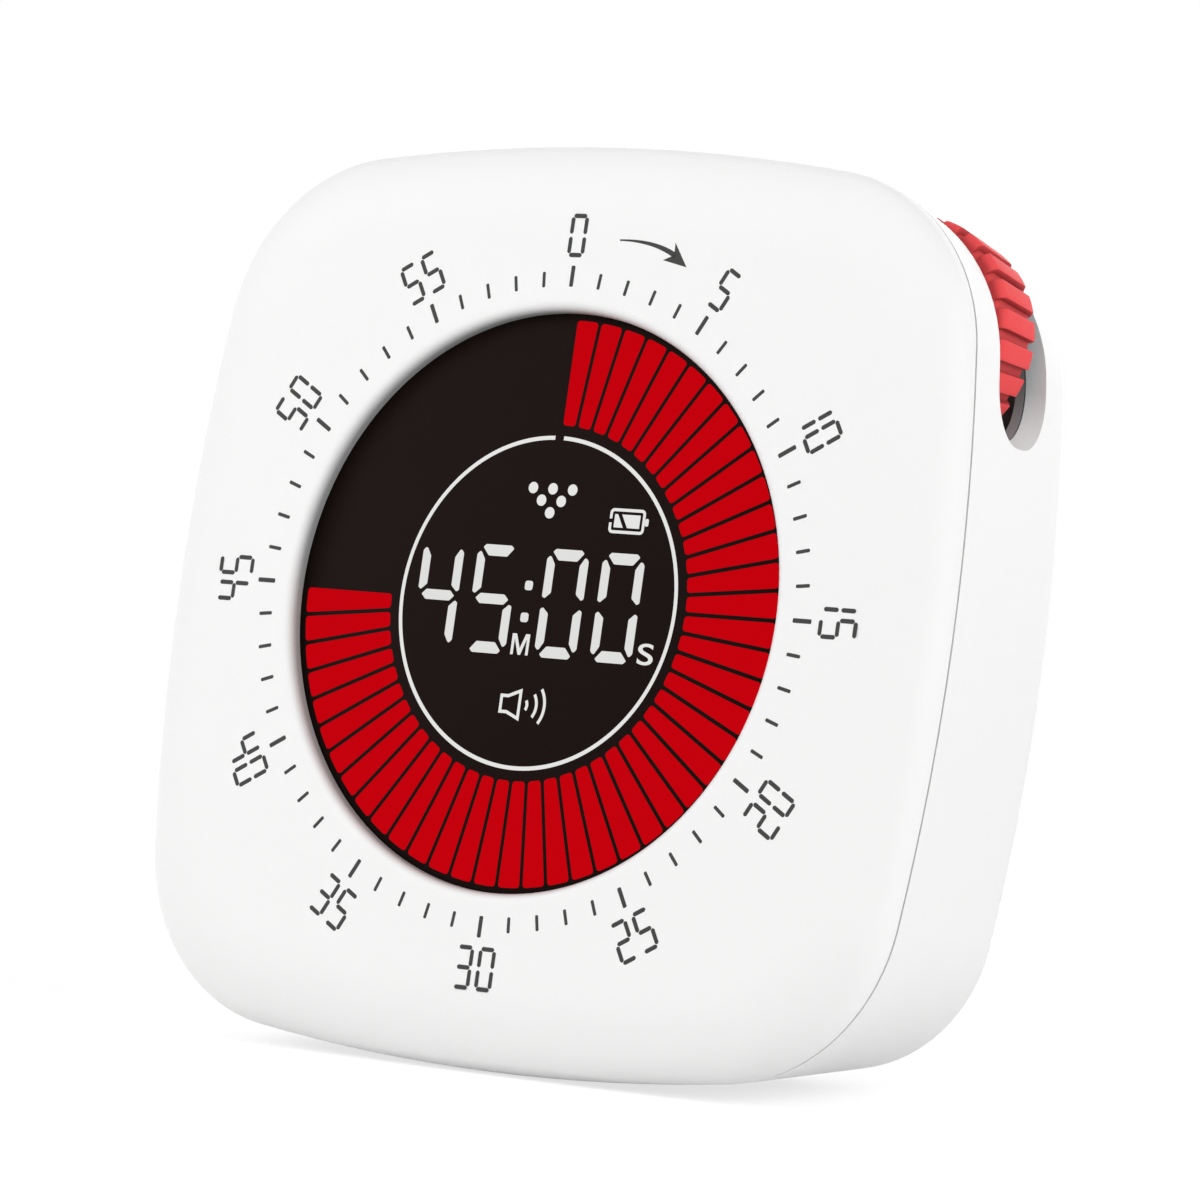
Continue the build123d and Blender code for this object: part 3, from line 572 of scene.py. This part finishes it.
def coverPiece():
    bm = bmesh.new()
    under = outlineFace(bm, -cover["seam"])
    top = lift(bm, under, cover["seam"] - cover["edgeDepth"])
    under = min(bm.faces, key=lambda face: face.normal.z)
    # the soft edge, a quarter of an ellipse, and a narrow flat that keeps the face's shading level
    angles = quarterAngles(cover["edgeSteps"])
    for low, high in zip(angles, angles[1:]):
        inset = cover["edgeInset"] * (math.cos(low) - math.cos(high))
        stepIn(bm, top, inset, cover["edgeDepth"] * (math.sin(high) - math.sin(low)))
    stepIn(bm, top, cover["hold"], 0)
    outerRim = openFace(bm, top)
    # the round opening: its flat, its rounded lip and the pocket behind it
    segments = len(outerRim)
    lipTop = cover["opening"] + cover["lipRound"]
    radius = lipTop + cover["hold"]
    rim = ring(bm, radius, 0, segments)
    bridgeFlat(bm, outerRim, rim)
    rim = stepLoop(bm, rim, lipTop / radius, 0)
    radius = lipTop
    angles = quarterAngles(cover["lipSteps"])
    for low, high in zip(angles, angles[1:]):
        nextRadius = radius - cover["lipRound"] * (math.sin(high) - math.sin(low))
        rim = stepLoop(bm, rim, nextRadius / radius, cover["lipRound"] * (math.cos(high) - math.cos(low)))
        radius = nextRadius
    rim = stepLoop(bm, rim, 1, cover["lipRound"] - cover["lipDepth"])
    rim = stepLoop(bm, rim, cover["pocket"] / radius, 0)
    rim = stepLoop(bm, rim, 1, cover["lipDepth"] - cover["inside"])
    # the underside: the rim that meets the rear case, and the step for its tongue
    stepIn(bm, under, cover["rimWidth"], 0)
    under = lift(bm, under, cover["rimHeight"])
    stepIn(bm, under, cover["wall"] - cover["rimWidth"], 0)
    under = lift(bm, under, cover["seam"] - cover["rimHeight"] - cover["inside"])
    bridgeFlat(bm, openFace(bm, under), rim)
    bmesh.ops.recalc_face_normals(bm, faces=bm.faces)
    piece = makePiece("front_cover", bm, "white_shell", "case", ["front_shell"])
    # painted shade: the rounded lip is greyer toward the window
    piece.data.materials.append(finishes["lip_painted_shade"])
    drawn = faceMatrix.inverted()
    for face in piece.data.polygons:
        if (drawn @ face.center).xy.length < lipTop + cover["hold"]:
            face.material_index = 1
    return piece


coverPiece()
print("case: front cover")

glass = {
    "front": 1.5, "back": 2.0, "radius": 26.4, "segments": 128, "bevel": 0.12, "bevelSteps": 2, "sharp": 45,
}


def windowPiece():
    bm = bmesh.new()
    place = Matrix.Translation((0, 0, -glass["back"]))
    segments, radius = glass["segments"], glass["radius"]
    bmesh.ops.create_circle(bm, cap_ends=True, segments=segments, radius=radius, matrix=place)
    bm.faces.ensure_lookup_table()
    lift(bm, bm.faces[0], glass["back"] - glass["front"])
    roundEdges(bm, sharpEdges(bm, glass["sharp"]), glass["bevel"], glass["bevelSteps"])
    bmesh.ops.recalc_face_normals(bm, faces=bm.faces)
    return makePiece("smoked_window", bm, "window", "case", ["display_window"])


windowPiece()

layer = {"display": 0.015, "ink": 0.012}


def raiseFlat(bm, faces, height, thickness):
    # gives flat drawings their place and thickness
    for face in faces:
        if face.normal.z < 0:
            face.normal_flip()
    bmesh.ops.translate(bm, vec=(0, 0, height), verts=bm.verts)
    made = bmesh.ops.extrude_face_region(bm, geom=faces)["geom"]
    bmesh.ops.translate(bm, vec=(0, 0, thickness), verts=vertsOf(made))
    bmesh.ops.recalc_face_normals(bm, faces=bm.faces)


def displayPiece(name, bm, finish):
    raiseFlat(bm, bm.faces[:], -glass["front"], layer["display"])
    return makePiece(name, bm, finish, "case")


def arcStrip(bm, inner, outer, start, angle, steps, middle=(0, 0)):
    # a flat band: a short radial edge that is spun about a middle, angles clockwise from straight up
    spoke = [
        bm.verts.new((middle[0] + radius * math.sin(start), middle[1] + radius * math.cos(start), 0))
        for radius in (inner, outer)
    ]
    edge = bm.edges.new(spoke)
    cent = (middle[0], middle[1], 0)
    bmesh.ops.spin(bm, geom=spoke + [edge], cent=cent, axis=(0, 0, 1), angle=-angle, steps=steps)


def roundCorners(bm, verts, radius, steps):
    bmesh.ops.bevel(
        bm, geom=verts, offset=radius, segments=steps, profile=0.5, affect="VERTICES", material=-1
    )


def polygon(bm, points):
    face = bm.faces.new([bm.verts.new((x, y, 0)) for x, y in points])
    face.normal_update()
    return face


def bar(bm, place, length, width, corner, steps):
    # a flat bar along y with softened corners
    shape = place @ Matrix.Diagonal((width / 2, length / 2, 1, 1))
    verts = bmesh.ops.create_grid(bm, x_segments=1, y_segments=1, size=1, matrix=shape)["verts"]
    roundCorners(bm, verts, corner, steps)


minutes = {
    "count": 60, "lit": 45, "inner": 15.37, "outer": 24.48, "gap": 0.36, "arcSteps": 4,
    "corner": 0.28, "cornerSteps": 3,
}


def wedgePieces():
    # one lit minute, its sides parallel to the gaps, copied clockwise
    bm = bmesh.new()
    step = 2 * math.pi / minutes["count"]
    corners = []
    for radius in (minutes["inner"], minutes["outer"]):
        shy = math.asin(minutes["gap"] / 2 / radius)
        start = bm.verts.new((radius * math.sin(shy), radius * math.cos(shy), 0))
        swing = bmesh.ops.spin(
            bm, geom=[start], cent=(0, 0, 0), axis=(0, 0, 1), angle=2 * shy - step, steps=minutes["arcSteps"]
        )
        corners.append((start, vertsOf(swing["geom_last"])[0]))
    bm.edges.new((corners[0][0], corners[1][0]))
    bm.edges.new((corners[0][1], corners[1][1]))
    bmesh.ops.contextual_create(bm, geom=bm.edges[:])
    roundCorners(bm, [vert for pair in corners for vert in pair], minutes["corner"], minutes["cornerSteps"])
    copies = minutes["lit"] - 1
    bmesh.ops.spin(
        bm, geom=everything(bm), cent=(0, 0, 0), axis=(0, 0, 1), angle=-step * copies, steps=copies,
        use_duplicate=True,
    )
    return displayPiece("minute_wedges", bm, "lit_red")


halo = {"inner": 14.095, "outer": 14.445, "gap": 0.9, "steps": 160}


def haloPiece():
    bm = bmesh.new()
    shy = halo["gap"] / 2 / halo["inner"]
    arcStrip(bm, halo["inner"], halo["outer"], shy, 2 * math.pi - 2 * shy, halo["steps"])
    return displayPiece("halo_line", bm, "lit_white")


# Which of the seven segments each digit lights: top, middle, bottom, then the left and right uprights
digitBars = {
    "0": ("top", "bottom", "upperLeft", "lowerLeft", "upperRight", "lowerRight"),
    "1": ("upperRight", "lowerRight"),
    "2": ("top", "middle", "bottom", "lowerLeft", "upperRight"),
    "3": ("top", "middle", "bottom", "upperRight", "lowerRight"),
    "4": ("middle", "upperLeft", "upperRight", "lowerRight"),
    "5": ("top", "middle", "bottom", "upperLeft", "lowerRight"),
}
clock = {
    "text": "4500", "middles": (-10.482, -4.712, 2.655, 8.421), "rise": 0.04,
    "top": ((-1.62, 4.42), (-1.34, 4.69), (1.34, 4.69), (1.62, 4.42), (0.97, 3.71), (-0.97, 3.71)),
    "middle": ((-1.74, 0), (-1.27, 0.445), (1.27, 0.445), (1.74, 0), (1.27, -0.445), (-1.27, -0.445)),
    "upright": (
        (-2.168, 3.78), (-1.93, 4.04), (-1.76, 4.04), (-1.302, 3.36),
        (-1.302, 0.9), (-1.9, 0.39), (-2.168, 0.55),
    ),
    "corner": 0.08, "cornerSteps": 2,
    "colonX": -1.03, "colonY": 1.38, "colonSize": 0.82, "colonCorner": 0.24, "colonSteps": 4,
}


def clockPiece():
    bm = bmesh.new()
    mirrors = {
        "top": ("top", 1, 1), "bottom": ("top", 1, -1), "middle": ("middle", 1, 1),
        "upperLeft": ("upright", 1, 1), "lowerLeft": ("upright", 1, -1),
        "upperRight": ("upright", -1, 1), "lowerRight": ("upright", -1, -1),
    }
    for digit, middle in zip(clock["text"], clock["middles"]):
        for name in digitBars[digit]:
            shape, sideways, upward = mirrors[name]
            points = [(middle + sideways * x, clock["rise"] + upward * y) for x, y in clock[shape]]
            roundCorners(bm, list(polygon(bm, points).verts), clock["corner"], clock["cornerSteps"])
    for side in (-1, 1):
        place = Matrix.Translation((clock["colonX"], clock["rise"] + side * clock["colonY"], 0))
        bar(bm, place, clock["colonSize"], clock["colonSize"], clock["colonCorner"], clock["colonSteps"])
    return displayPiece("time_digits", bm, "lit_time")


tally = {"rows": 3, "pitch": 2.06, "rowPitch": 1.04, "top": 9.86, "x": 0.056, "radius": 0.494, "segments": 28}


def tallyPiece():
    # rows of three, two and one dots
    bm = bmesh.new()
    for row in range(tally["rows"]):
        count = tally["rows"] - row
        for index in range(count):
            x = tally["x"] + (index - (count - 1) / 2) * tally["pitch"]
            place = Matrix.Translation((x, tally["top"] - row * tally["rowPitch"], 0))
            bmesh.ops.create_circle(
                bm, cap_ends=True, segments=tally["segments"], radius=tally["radius"], matrix=place
            )
    return displayPiece("tally_dots", bm, "lit_white")


charge = {
    "x": 8.175, "y": 7.48, "width": 3.66, "height": 2.15, "corner": 0.4, "steps": 4,
    "line": 0.26, "notch": 0.34, "nubWidth": 0.36, "nubHeight": 0.66, "nubGap": 0.02, "nubCorner": 0.162,
    "left": ((-1.32, 0.57), (-1.02, 0.57), (-0.36, -0.57), (-1.32, -0.57)),
    "right": ((-0.6, 0.57), (1.31, 0.57), (1.31, -0.57), (0.08, -0.57)),
}


def chargePiece():
    bm = bmesh.new()
    bar(bm, Matrix.Identity(4), charge["height"], charge["width"], charge["corner"], charge["steps"])
    inside = bm.faces[:][0]
    stepIn(bm, inside, charge["line"], 0)
    bmesh.ops.delete(bm, geom=[inside], context="FACES")
    # the break in the left side
    for side in (-1, 1):
        cut = (0, side * charge["notch"] / 2, 0)
        bmesh.ops.bisect_plane(bm, geom=everything(bm), plane_co=cut, plane_no=(0, 1, 0))
    middles = {face: face.calc_center_median() for face in bm.faces}
    broken = [face for face, spot in middles.items() if spot.x < 0 and abs(spot.y) < charge["notch"] / 2]
    bmesh.ops.delete(bm, geom=broken, context="FACES")
    for name in ("left", "right"):
        polygon(bm, charge[name])
    nubX = (charge["width"] + charge["nubWidth"]) / 2 + charge["nubGap"]
    place = Matrix.Translation((nubX, 0, 0))
    bar(bm, place, charge["nubHeight"], charge["nubWidth"], charge["nubCorner"], charge["steps"])
    bmesh.ops.translate(bm, vec=(charge["x"], charge["y"], 0), verts=bm.verts)
    return displayPiece("charge_sign", bm, "lit_white")


sound = {
    "x": -2.36, "y": -8.83, "line": 0.28,
    "wavesX": -0.16, "waveSpan": 36.0, "waves": (0.68, 1.66, 2.5), "waveSteps": 12,
    "horn": ((0, 0.83), (0.8, 0.83), (2.22, 1.4), (2.22, -1.4), (0.8, -0.83), (0, -0.83)),
}


def soundPiece():
    bm = bmesh.new()
    horn = polygon(bm, [(sound["x"] + x, sound["y"] + y) for x, y in sound["horn"]])
    stepIn(bm, horn, sound["line"], 0)
    bmesh.ops.delete(bm, geom=[horn], context="FACES")
    half = math.radians(sound["waveSpan"])
    start = math.pi / 2 - half
    middle = (sound["wavesX"], sound["y"])
    for radius in sound["waves"]:
        inner, outer = radius - sound["line"] / 2, radius + sound["line"] / 2
        arcStrip(bm, inner, outer, start, 2 * half, sound["waveSteps"], middle)
    return displayPiece("sound_sign", bm, "lit_white")


units = {
    "minuteX": -1.07, "secondX": 11.93, "y": -3.67, "height": 1.84, "secondWidth": 1.61,
    "heavier": 0.009, "weld": 0.0005,
    "minute": (
        (-0.92, -0.91), (-0.92, 0.91), (-0.48, 0.91), (0, -0.35), (0.48, 0.91), (0.92, 0.91), (0.92, -0.91),
        (0.645, -0.91), (0.645, 0.525), (0.13, -0.91), (-0.13, -0.91), (-0.645, 0.525), (-0.645, -0.91),
    ),
}


def unitPiece():
    # minutes and seconds marks: one drawn, the other set from the plain built-in face
    bm = bmesh.new()
    text = bpy.data.curves.new("seconds", "FONT")
    text.body = "S"
    text.offset = units["heavier"]
    holder = bpy.data.objects.new("seconds", text)
    mesh = bpy.data.meshes.new_from_object(holder)
    low = [min(vert.co[axis] for vert in mesh.vertices) for axis in range(2)]
    high = [max(vert.co[axis] for vert in mesh.vertices) for axis in range(2)]
    wider = units["secondWidth"] / (high[0] - low[0])
    taller = units["height"] / (high[1] - low[1])
    centred = Matrix.Translation((-(low[0] + high[0]) / 2, -(low[1] + high[1]) / 2, 0))
    spot = Matrix.Translation((units["secondX"], units["y"], 0))
    mesh.transform(spot @ Matrix.Diagonal((wider, taller, 1, 1)) @ centred)
    bm.from_mesh(mesh)
    bpy.data.objects.remove(holder)
    bpy.data.curves.remove(text)
    bpy.data.meshes.remove(mesh)
    bmesh.ops.remove_doubles(bm, verts=bm.verts, dist=units["weld"])
    polygon(bm, [(units["minuteX"] + x, units["y"] + y) for x, y in units["minute"]])
    return displayPiece("unit_marks", bm, "lit_white")


for drawPiece in (wedgePieces, haloPiece, clockPiece, tallyPiece, chargePiece, soundPiece, unitPiece):
    drawPiece()
print("display: window, minutes, time and signs")

dial = {
    "ticks": 60, "major": 5, "inner": 27.13, "minorLength": 1.36, "majorLength": 1.84,
    "minorWidth": 0.305, "majorWidth": 0.39, "tickCorner": 0.1, "tickSteps": 2,
    "numbers": 12, "numberStep": 5, "reach": 31.6, "column": 0.705, "row": 1.705, "gap": 0.88,
    "barLength": 1.3, "postLength": 1.43, "barWidth": 0.38, "barCorner": 0.13, "barSteps": 1,
    "upsideDown": (20, 25, 30, 35, 40),
}


def inkPiece(name, bm):
    raiseFlat(bm, bm.faces[:], 0, layer["ink"])
    return makePiece(name, bm, "ink", "case")


def tickPiece():
    bm = bmesh.new()
    for index in range(dial["ticks"]):
        major = index % dial["major"] == 0
        length = dial["majorLength"] if major else dial["minorLength"]
        width = dial["majorWidth"] if major else dial["minorWidth"]
        around = Matrix.Rotation(-2 * math.pi * index / dial["ticks"], 4, "Z")
        place = around @ Matrix.Translation((0, dial["inner"] + length / 2, 0))
        bar(bm, place, length, width, dial["tickCorner"], dial["tickSteps"])
    return inkPiece("dial_ticks", bm)


def numberPiece():
    # seven-bar numerals, set so that those in the lower part read from below
    bm = bmesh.new()
    column, row = dial["column"], dial["row"]
    lying = Matrix.Rotation(math.pi / 2, 4, "Z")
    bars = {
        "top": ((0, row), True), "middle": ((0, 0), True), "bottom": ((0, -row), True),
        "upperLeft": ((-column, row / 2), False), "lowerLeft": ((-column, -row / 2), False),
        "upperRight": ((column, row / 2), False), "lowerRight": ((column, -row / 2), False),
    }
    for index in range(dial["numbers"]):
        number = index * dial["numberStep"]
        around = Matrix.Rotation(-2 * math.pi * index / dial["numbers"], 4, "Z")
        upright = Matrix.Rotation(math.pi if number in dial["upsideDown"] else 0, 4, "Z")
        spot = around @ Matrix.Translation((0, dial["reach"], 0)) @ upright
        # a one is only as wide as its column
        widths = [0 if digit == "1" else 2 * column for digit in str(number)]
        left = -(sum(widths) + dial["gap"] * (len(widths) - 1)) / 2
        for digit, width in zip(str(number), widths):
            middle = left + width - column
            for name in digitBars[digit]:
                (x, y), isLying = bars[name]
                place = spot @ Matrix.Translation((middle + x, y, 0))
                length = dial["postLength"]
                if isLying:
                    place = place @ lying
                    length = dial["barLength"]
                bar(bm, place, length, dial["barWidth"], dial["barCorner"], dial["barSteps"])
            left += width + dial["gap"]
    return inkPiece("dial_numbers", bm)


arrow = {
    "start": (4.42, 31.33), "bend": (8.0, 31.4), "end": (10.3, 30.16), "steps": 18,
    "thin": 0.13, "thick": 0.53, "swell": 1.2,
    "head": ((10.17, 31.27), (11.63, 29.2), (9.13, 29.74), (10.22, 30.2)),
}


def arrowPiece():
    # a shaft that swells along a bent line, and its head
    bm = bmesh.new()
    shaft = bpy.data.curves.new("shaft", "CURVE")
    line = shaft.splines.new("NURBS")
    line.points.add(2)
    for point, place in zip(line.points, (arrow["start"], arrow["bend"], arrow["end"])):
        point.co = (place[0], place[1], 0, 1)
    line.order_u = 3
    line.use_endpoint_u = True
    line.resolution_u = arrow["steps"]
    holder = bpy.data.objects.new("shaft", shaft)
    mesh = bpy.data.meshes.new_from_object(holder)
    bm.from_mesh(mesh)
    bpy.data.objects.remove(holder)
    bpy.data.curves.remove(shaft)
    bpy.data.meshes.remove(mesh)
    spine = bm.verts[:]
    span = arrow["end"][0] - arrow["start"][0]
    made = vertsOf(bmesh.ops.extrude_edge_only(bm, edges=bm.edges[:])["geom"])
    for low, high in zip(spine, made):
        share = (low.co.x - arrow["start"][0]) / span
        half = (arrow["thin"] + (arrow["thick"] - arrow["thin"]) * share ** arrow["swell"]) / 2
        low.co.y -= half
        high.co.y += half
    polygon(bm, arrow["head"])
    return inkPiece("turn_arrow", bm)


for drawPiece in (tickPiece, numberPiece, arrowPiece):
    drawPiece()
print("dial: ticks, numbers and arrow")

wheel = {
    "ribs": 23, "grooveShare": 0.36, "phase": 13.0, "ribHeight": 0.6, "ribSteps": 4, "grooveSteps": 2,
    "front": 11.5, "crownRear": 17.75, "rear": 18.5,
    "crown": 9.87, "rearCrown": 9.136, "bevel": 0.75, "shoulderSteps": 5,
    "rim": 6.536, "webFront": 13.5, "webRear": 16.5,
    "hub": 3.5, "hubFront": 9.8, "hubRear": 18.9, "bore": 1.0, "weld": 0.002,
    "edge": 0.07, "edgeSteps": 2, "edgeSharp": 40, "edgeClear": 0.1, "crisp": 28, "flatness": 0.99,
}


def wheelPiece():
    # one rib and one groove, then as many turned copies as there are ribs
    bm = bmesh.new()
    step = 2 * math.pi / wheel["ribs"]
    groove = step * wheel["grooveShare"]
    shoulder = quarterAngles(wheel["shoulderSteps"])

    def outerLine(drop):
        line = [
            (wheel["crown"] - wheel["bevel"] * (1 - math.sin(turn)) - drop,
             wheel["front"] + wheel["bevel"] * (1 - math.cos(turn)))
            for turn in shoulder
        ]
        line.append((wheel["rearCrown"] - drop, wheel["crownRear"]))
        line.append((wheel["rearCrown"] - wheel["bevel"] - drop, wheel["rear"]))
        return line

    low = outerLine(wheel["ribHeight"])
    high = outerLine(0)
    # down the rear of the rim, web and hub, and up their front
    rim, hub, bore = wheel["rim"], wheel["hub"], wheel["bore"]
    core = [
        (rim, wheel["rear"]), (rim, wheel["webRear"]),
        (hub, wheel["webRear"]), (hub, wheel["hubRear"]),
        (bore, wheel["hubRear"]), (bore, wheel["hubFront"]),
        (hub, wheel["hubFront"]), (hub, wheel["webFront"]),
        (rim, wheel["webFront"]), (rim, wheel["front"]),
    ]
    ribLine = [low[0]] + high + [low[-1]] + core

    def vertsAlong(line, angle):
        turn = Matrix.Rotation(angle, 3, "Z")
        return [bm.verts.new(turn @ Vector((radius, 0, -depth))) for radius, depth in line]

    def sweepLine(line, start, angle, steps):
        verts = vertsAlong(line, start)
        edges = [bm.edges.new(pair) for pair in zip(verts, verts[1:] + verts[:1])]
        bmesh.ops.spin(bm, geom=verts + edges, cent=(0, 0, 0), axis=(0, 0, 1), angle=angle, steps=steps)

    sweepLine(low + core, 0, groove, wheel["grooveSteps"])
    sweepLine(ribLine, groove, step - groove, wheel["ribSteps"])
    # the two sides of the rib, between the crown's line and the groove's
    for angle in (groove, step):
        for line in (low, high):
            verts = vertsAlong(line, angle)
            for pair in zip(verts, verts[1:]):
                bm.edges.new(pair)
        loose = [edge for edge in bm.edges if edge.is_wire]
        bmesh.ops.bridge_loops(bm, edges=loose)
    bmesh.ops.spin(
        bm, geom=everything(bm), cent=(0, 0, 0), axis=(0, 0, 1), angle=2 * math.pi - step,
        steps=wheel["ribs"] - 1, use_duplicate=True,
    )
    bmesh.ops.remove_doubles(bm, verts=bm.verts, dist=wheel["weld"])
    bmesh.ops.recalc_face_normals(bm, faces=bm.faces)
    # a small radius along the ribs' edges, clear of the rim's inner ones
    lowest = rim + wheel["edgeClear"]
    ribEdges = [
        edge for edge in sharpEdges(bm, wheel["edgeSharp"])
        if edge.is_convex and all(vert.co.xy.length > lowest for vert in edge.verts)
    ]
    roundEdges(bm, ribEdges, wheel["edge"], wheel["edgeSteps"])
    turn = Matrix.Rotation(math.radians(wheel["phase"]), 4, "Z")
    bmesh.ops.transform(bm, matrix=Matrix.Translation((wheelSpot.x, wheelSpot.y, 0)) @ turn, verts=bm.verts)
    piece = makePiece(
        "ribbed_wheel", bm, "red_plastic", "wheel", ["thumbwheel"], wheel["crisp"]
    )
    # painted shade: the flat sides below the ribs and the web between them, down in the slot, are a deeper
    # red
    piece.data.materials.append(finishes["wheel_side_painted_shade"])
    drawn = Matrix.Translation((-wheelSpot.x, -wheelSpot.y, 0)) @ faceMatrix.inverted()
    for face in piece.data.polygons:
        isFlat = abs(face.normal.dot(faceAxes[2])) > wheel["flatness"]
        if isFlat and (drawn @ face.center).xy.length < low[0][0]:
            face.material_index = 1
    return piece


wheelPiece()
print("wheel: ribbed rim")

# For each node: the piece's name, body and finish, and the radius of its edges
softened = {
    "volume_slider": ("slider_grip", "slider", "grey_plastic", 0.1),
    "mode_button": ("mode_cap", "button", "grey_plastic", 0.08),
    "usb_c_shell": ("port_sleeve", "case", "steel", 0.06),
    "usb_c_tongue": ("port_tongue", "case", "black_plastic", 0.06),
    "foot_pad": ("grip_foot", "case", "foot_rubber", 0.12),
    "case_screws": ("cover_screws", "case", "steel", 0.08),
}
softening = {"weld": 0.001, "flat": 0.5, "sharp": 50, "steps": 2}


def softenedPiece(node, name, body, finish, radius):
    # a node's own shape with its sharp edges rounded
    bm = bmesh.new()
    bm.from_mesh(frame["nodes"][node].data)
    bmesh.ops.transform(bm, matrix=faceMatrix.inverted(), verts=bm.verts)
    bmesh.ops.remove_doubles(bm, verts=bm.verts, dist=softening["weld"])
    flat = math.radians(softening["flat"])
    bmesh.ops.dissolve_limit(bm, angle_limit=flat, verts=bm.verts, edges=bm.edges)
    roundEdges(bm, sharpEdges(bm, softening["sharp"]), radius, softening["steps"])
    return makePiece(name, bm, finish, body, [node])


for node, (name, body, finish, radius) in softened.items():
    softenedPiece(node, name, body, finish, radius)
print("details: controls, port, foot and screws")

studio = {
    "floorRadius": 4.0, "floorSegments": 96, "floorDrop": 0.00005,
    "floorColour": 0.84, "floorGlow": 0.4, "mottle": 60, "mottleShade": 0.995, "roughness": 0.9,
    "shadowShare": 0.5, "shadowEnd": 0.16, "whiteStart": 0.34, "ambient": 0.435,
    # each lamp's place, width and power
    "lamps": {
        "leftBox": ((-0.9, -0.82, 0.5), 1.2, 9.3),
        "rightBox": ((1.35, -0.3, 0.585), 1.2, 11.9),
        "backBox": ((-0.3, 1.45, 0.4), 1.2, 4.9),
    },
}


def floorPiece():
    # a pale floor that holds the timer's shadow and runs out to plain white
    bm = bmesh.new()
    place = Matrix.Translation((0, 0, -studio["floorDrop"]))
    segments, radius = studio["floorSegments"], studio["floorRadius"]
    bmesh.ops.create_circle(bm, cap_ends=True, segments=segments, radius=radius, matrix=place)
    mesh = bpy.data.meshes.new("floor")
    bm.to_mesh(mesh)
    bm.free()
    finish = newFinish("paleFloor")
    white = (1, 1, 1)
    pale = tint(white, studio["floorColour"])
    patch = tint(white, studio["floorColour"] * studio["mottleShade"])
    finish.wear({
        "Base Color": finish.mix(finish.noise(studio["mottle"]), patch, pale),
        "Roughness": studio["roughness"],
        "Specular IOR Level": 0.0,
        "Emission Color": finish.mix(finish.looked(), tint(white, 0), tint(white, studio["floorGlow"])),
        "Emission Strength": 1.0,
    })
    reach = finish.node("ShaderNodeVectorMath", {"operation": "LENGTH"}, {0: finish.place}, "Value")
    bounds = {
        "Value": reach, "From Min": studio["shadowEnd"], "From Max": studio["whiteStart"],
        "To Min": 1 - studio["shadowShare"],
    }
    far = finish.node("ShaderNodeMapRange", {"interpolation_type": "SMOOTHSTEP"}, bounds)
    plain = finish.node("ShaderNodeEmission", {}, {"Color": tint(white), "Strength": 1.0})
    shader = Wire(finish, finish.shader.outputs[0])
    surface = finish.node("ShaderNodeMixShader", {}, {0: far * finish.looked(), 1: shader, 2: plain})
    # clear from below, so that the timer's underside can be looked at
    below = finish.node("ShaderNodeNewGeometry", {}, {}, "Backfacing")
    clear = finish.node("ShaderNodeBsdfTransparent", {}, {})
    surface = finish.node("ShaderNodeMixShader", {}, {0: below, 1: surface, 2: clear})
    finish.plug(finish.tree.nodes["Material Output"].inputs["Surface"], surface)
    mesh.materials.append(finish.material)
    floor = bpy.data.objects.new("floor", mesh)
    bpy.context.scene.collection.objects.link(floor)


def studioLight():
    # the background is white wherever it is looked at, and lights the rest a little less
    world = bpy.data.worlds.new("studio")
    bpy.context.scene.world = world
    sky = Finish(world, "Background")
    strength = sky.looked() * (1 - studio["ambient"]) + studio["ambient"]
    sky.wear({"Color": (1, 1, 1, 1), "Strength": strength})
    middle = (cadBox[0] + cadBox[1]) / 2
    for name, (place, size, power) in studio["lamps"].items():
        lamp = bpy.data.lights.new(name, "AREA")
        lamp.shape = "DISK"
        lamp.size = size
        lamp.energy = power
        holder = bpy.data.objects.new(name, lamp)
        holder.location = place
        holder.rotation_euler = (middle - holder.location).to_track_quat("-Z", "Y").to_euler()
        bpy.context.scene.collection.objects.link(holder)
    bpy.context.scene.view_settings.view_transform = "Standard"


view = {
    "place": (308.91, -47.35, 428.44),
    "right": (0.817257, 0.138842, -0.559298), "up": (-0.062243, 0.986132, 0.15385),
    "focalPixels": 6235.4, "imagePixels": 1200, "sensor": 36.0,
}


def viewCamera():
    lens = bpy.data.cameras.new("view")
    lens.sensor_width = view["sensor"]
    lens.lens = view["focalPixels"] / view["imagePixels"] * view["sensor"]
    holder = bpy.data.objects.new("view", lens)
    right = Vector(view["right"]).normalized()
    back = right.cross(Vector(view["up"])).normalized()
    turn = Matrix((right, back.cross(right), back)).transposed().to_4x4()
    holder.matrix_world = Matrix.Translation(faceMatrix @ Vector(view["place"])) @ faceTurn @ turn
    bpy.context.scene.collection.objects.link(holder)
    bpy.context.scene.camera = holder


floorPiece()
studioLight()
viewCamera()
print("studio: floor, light and camera")

bpy.context.view_layer.update()
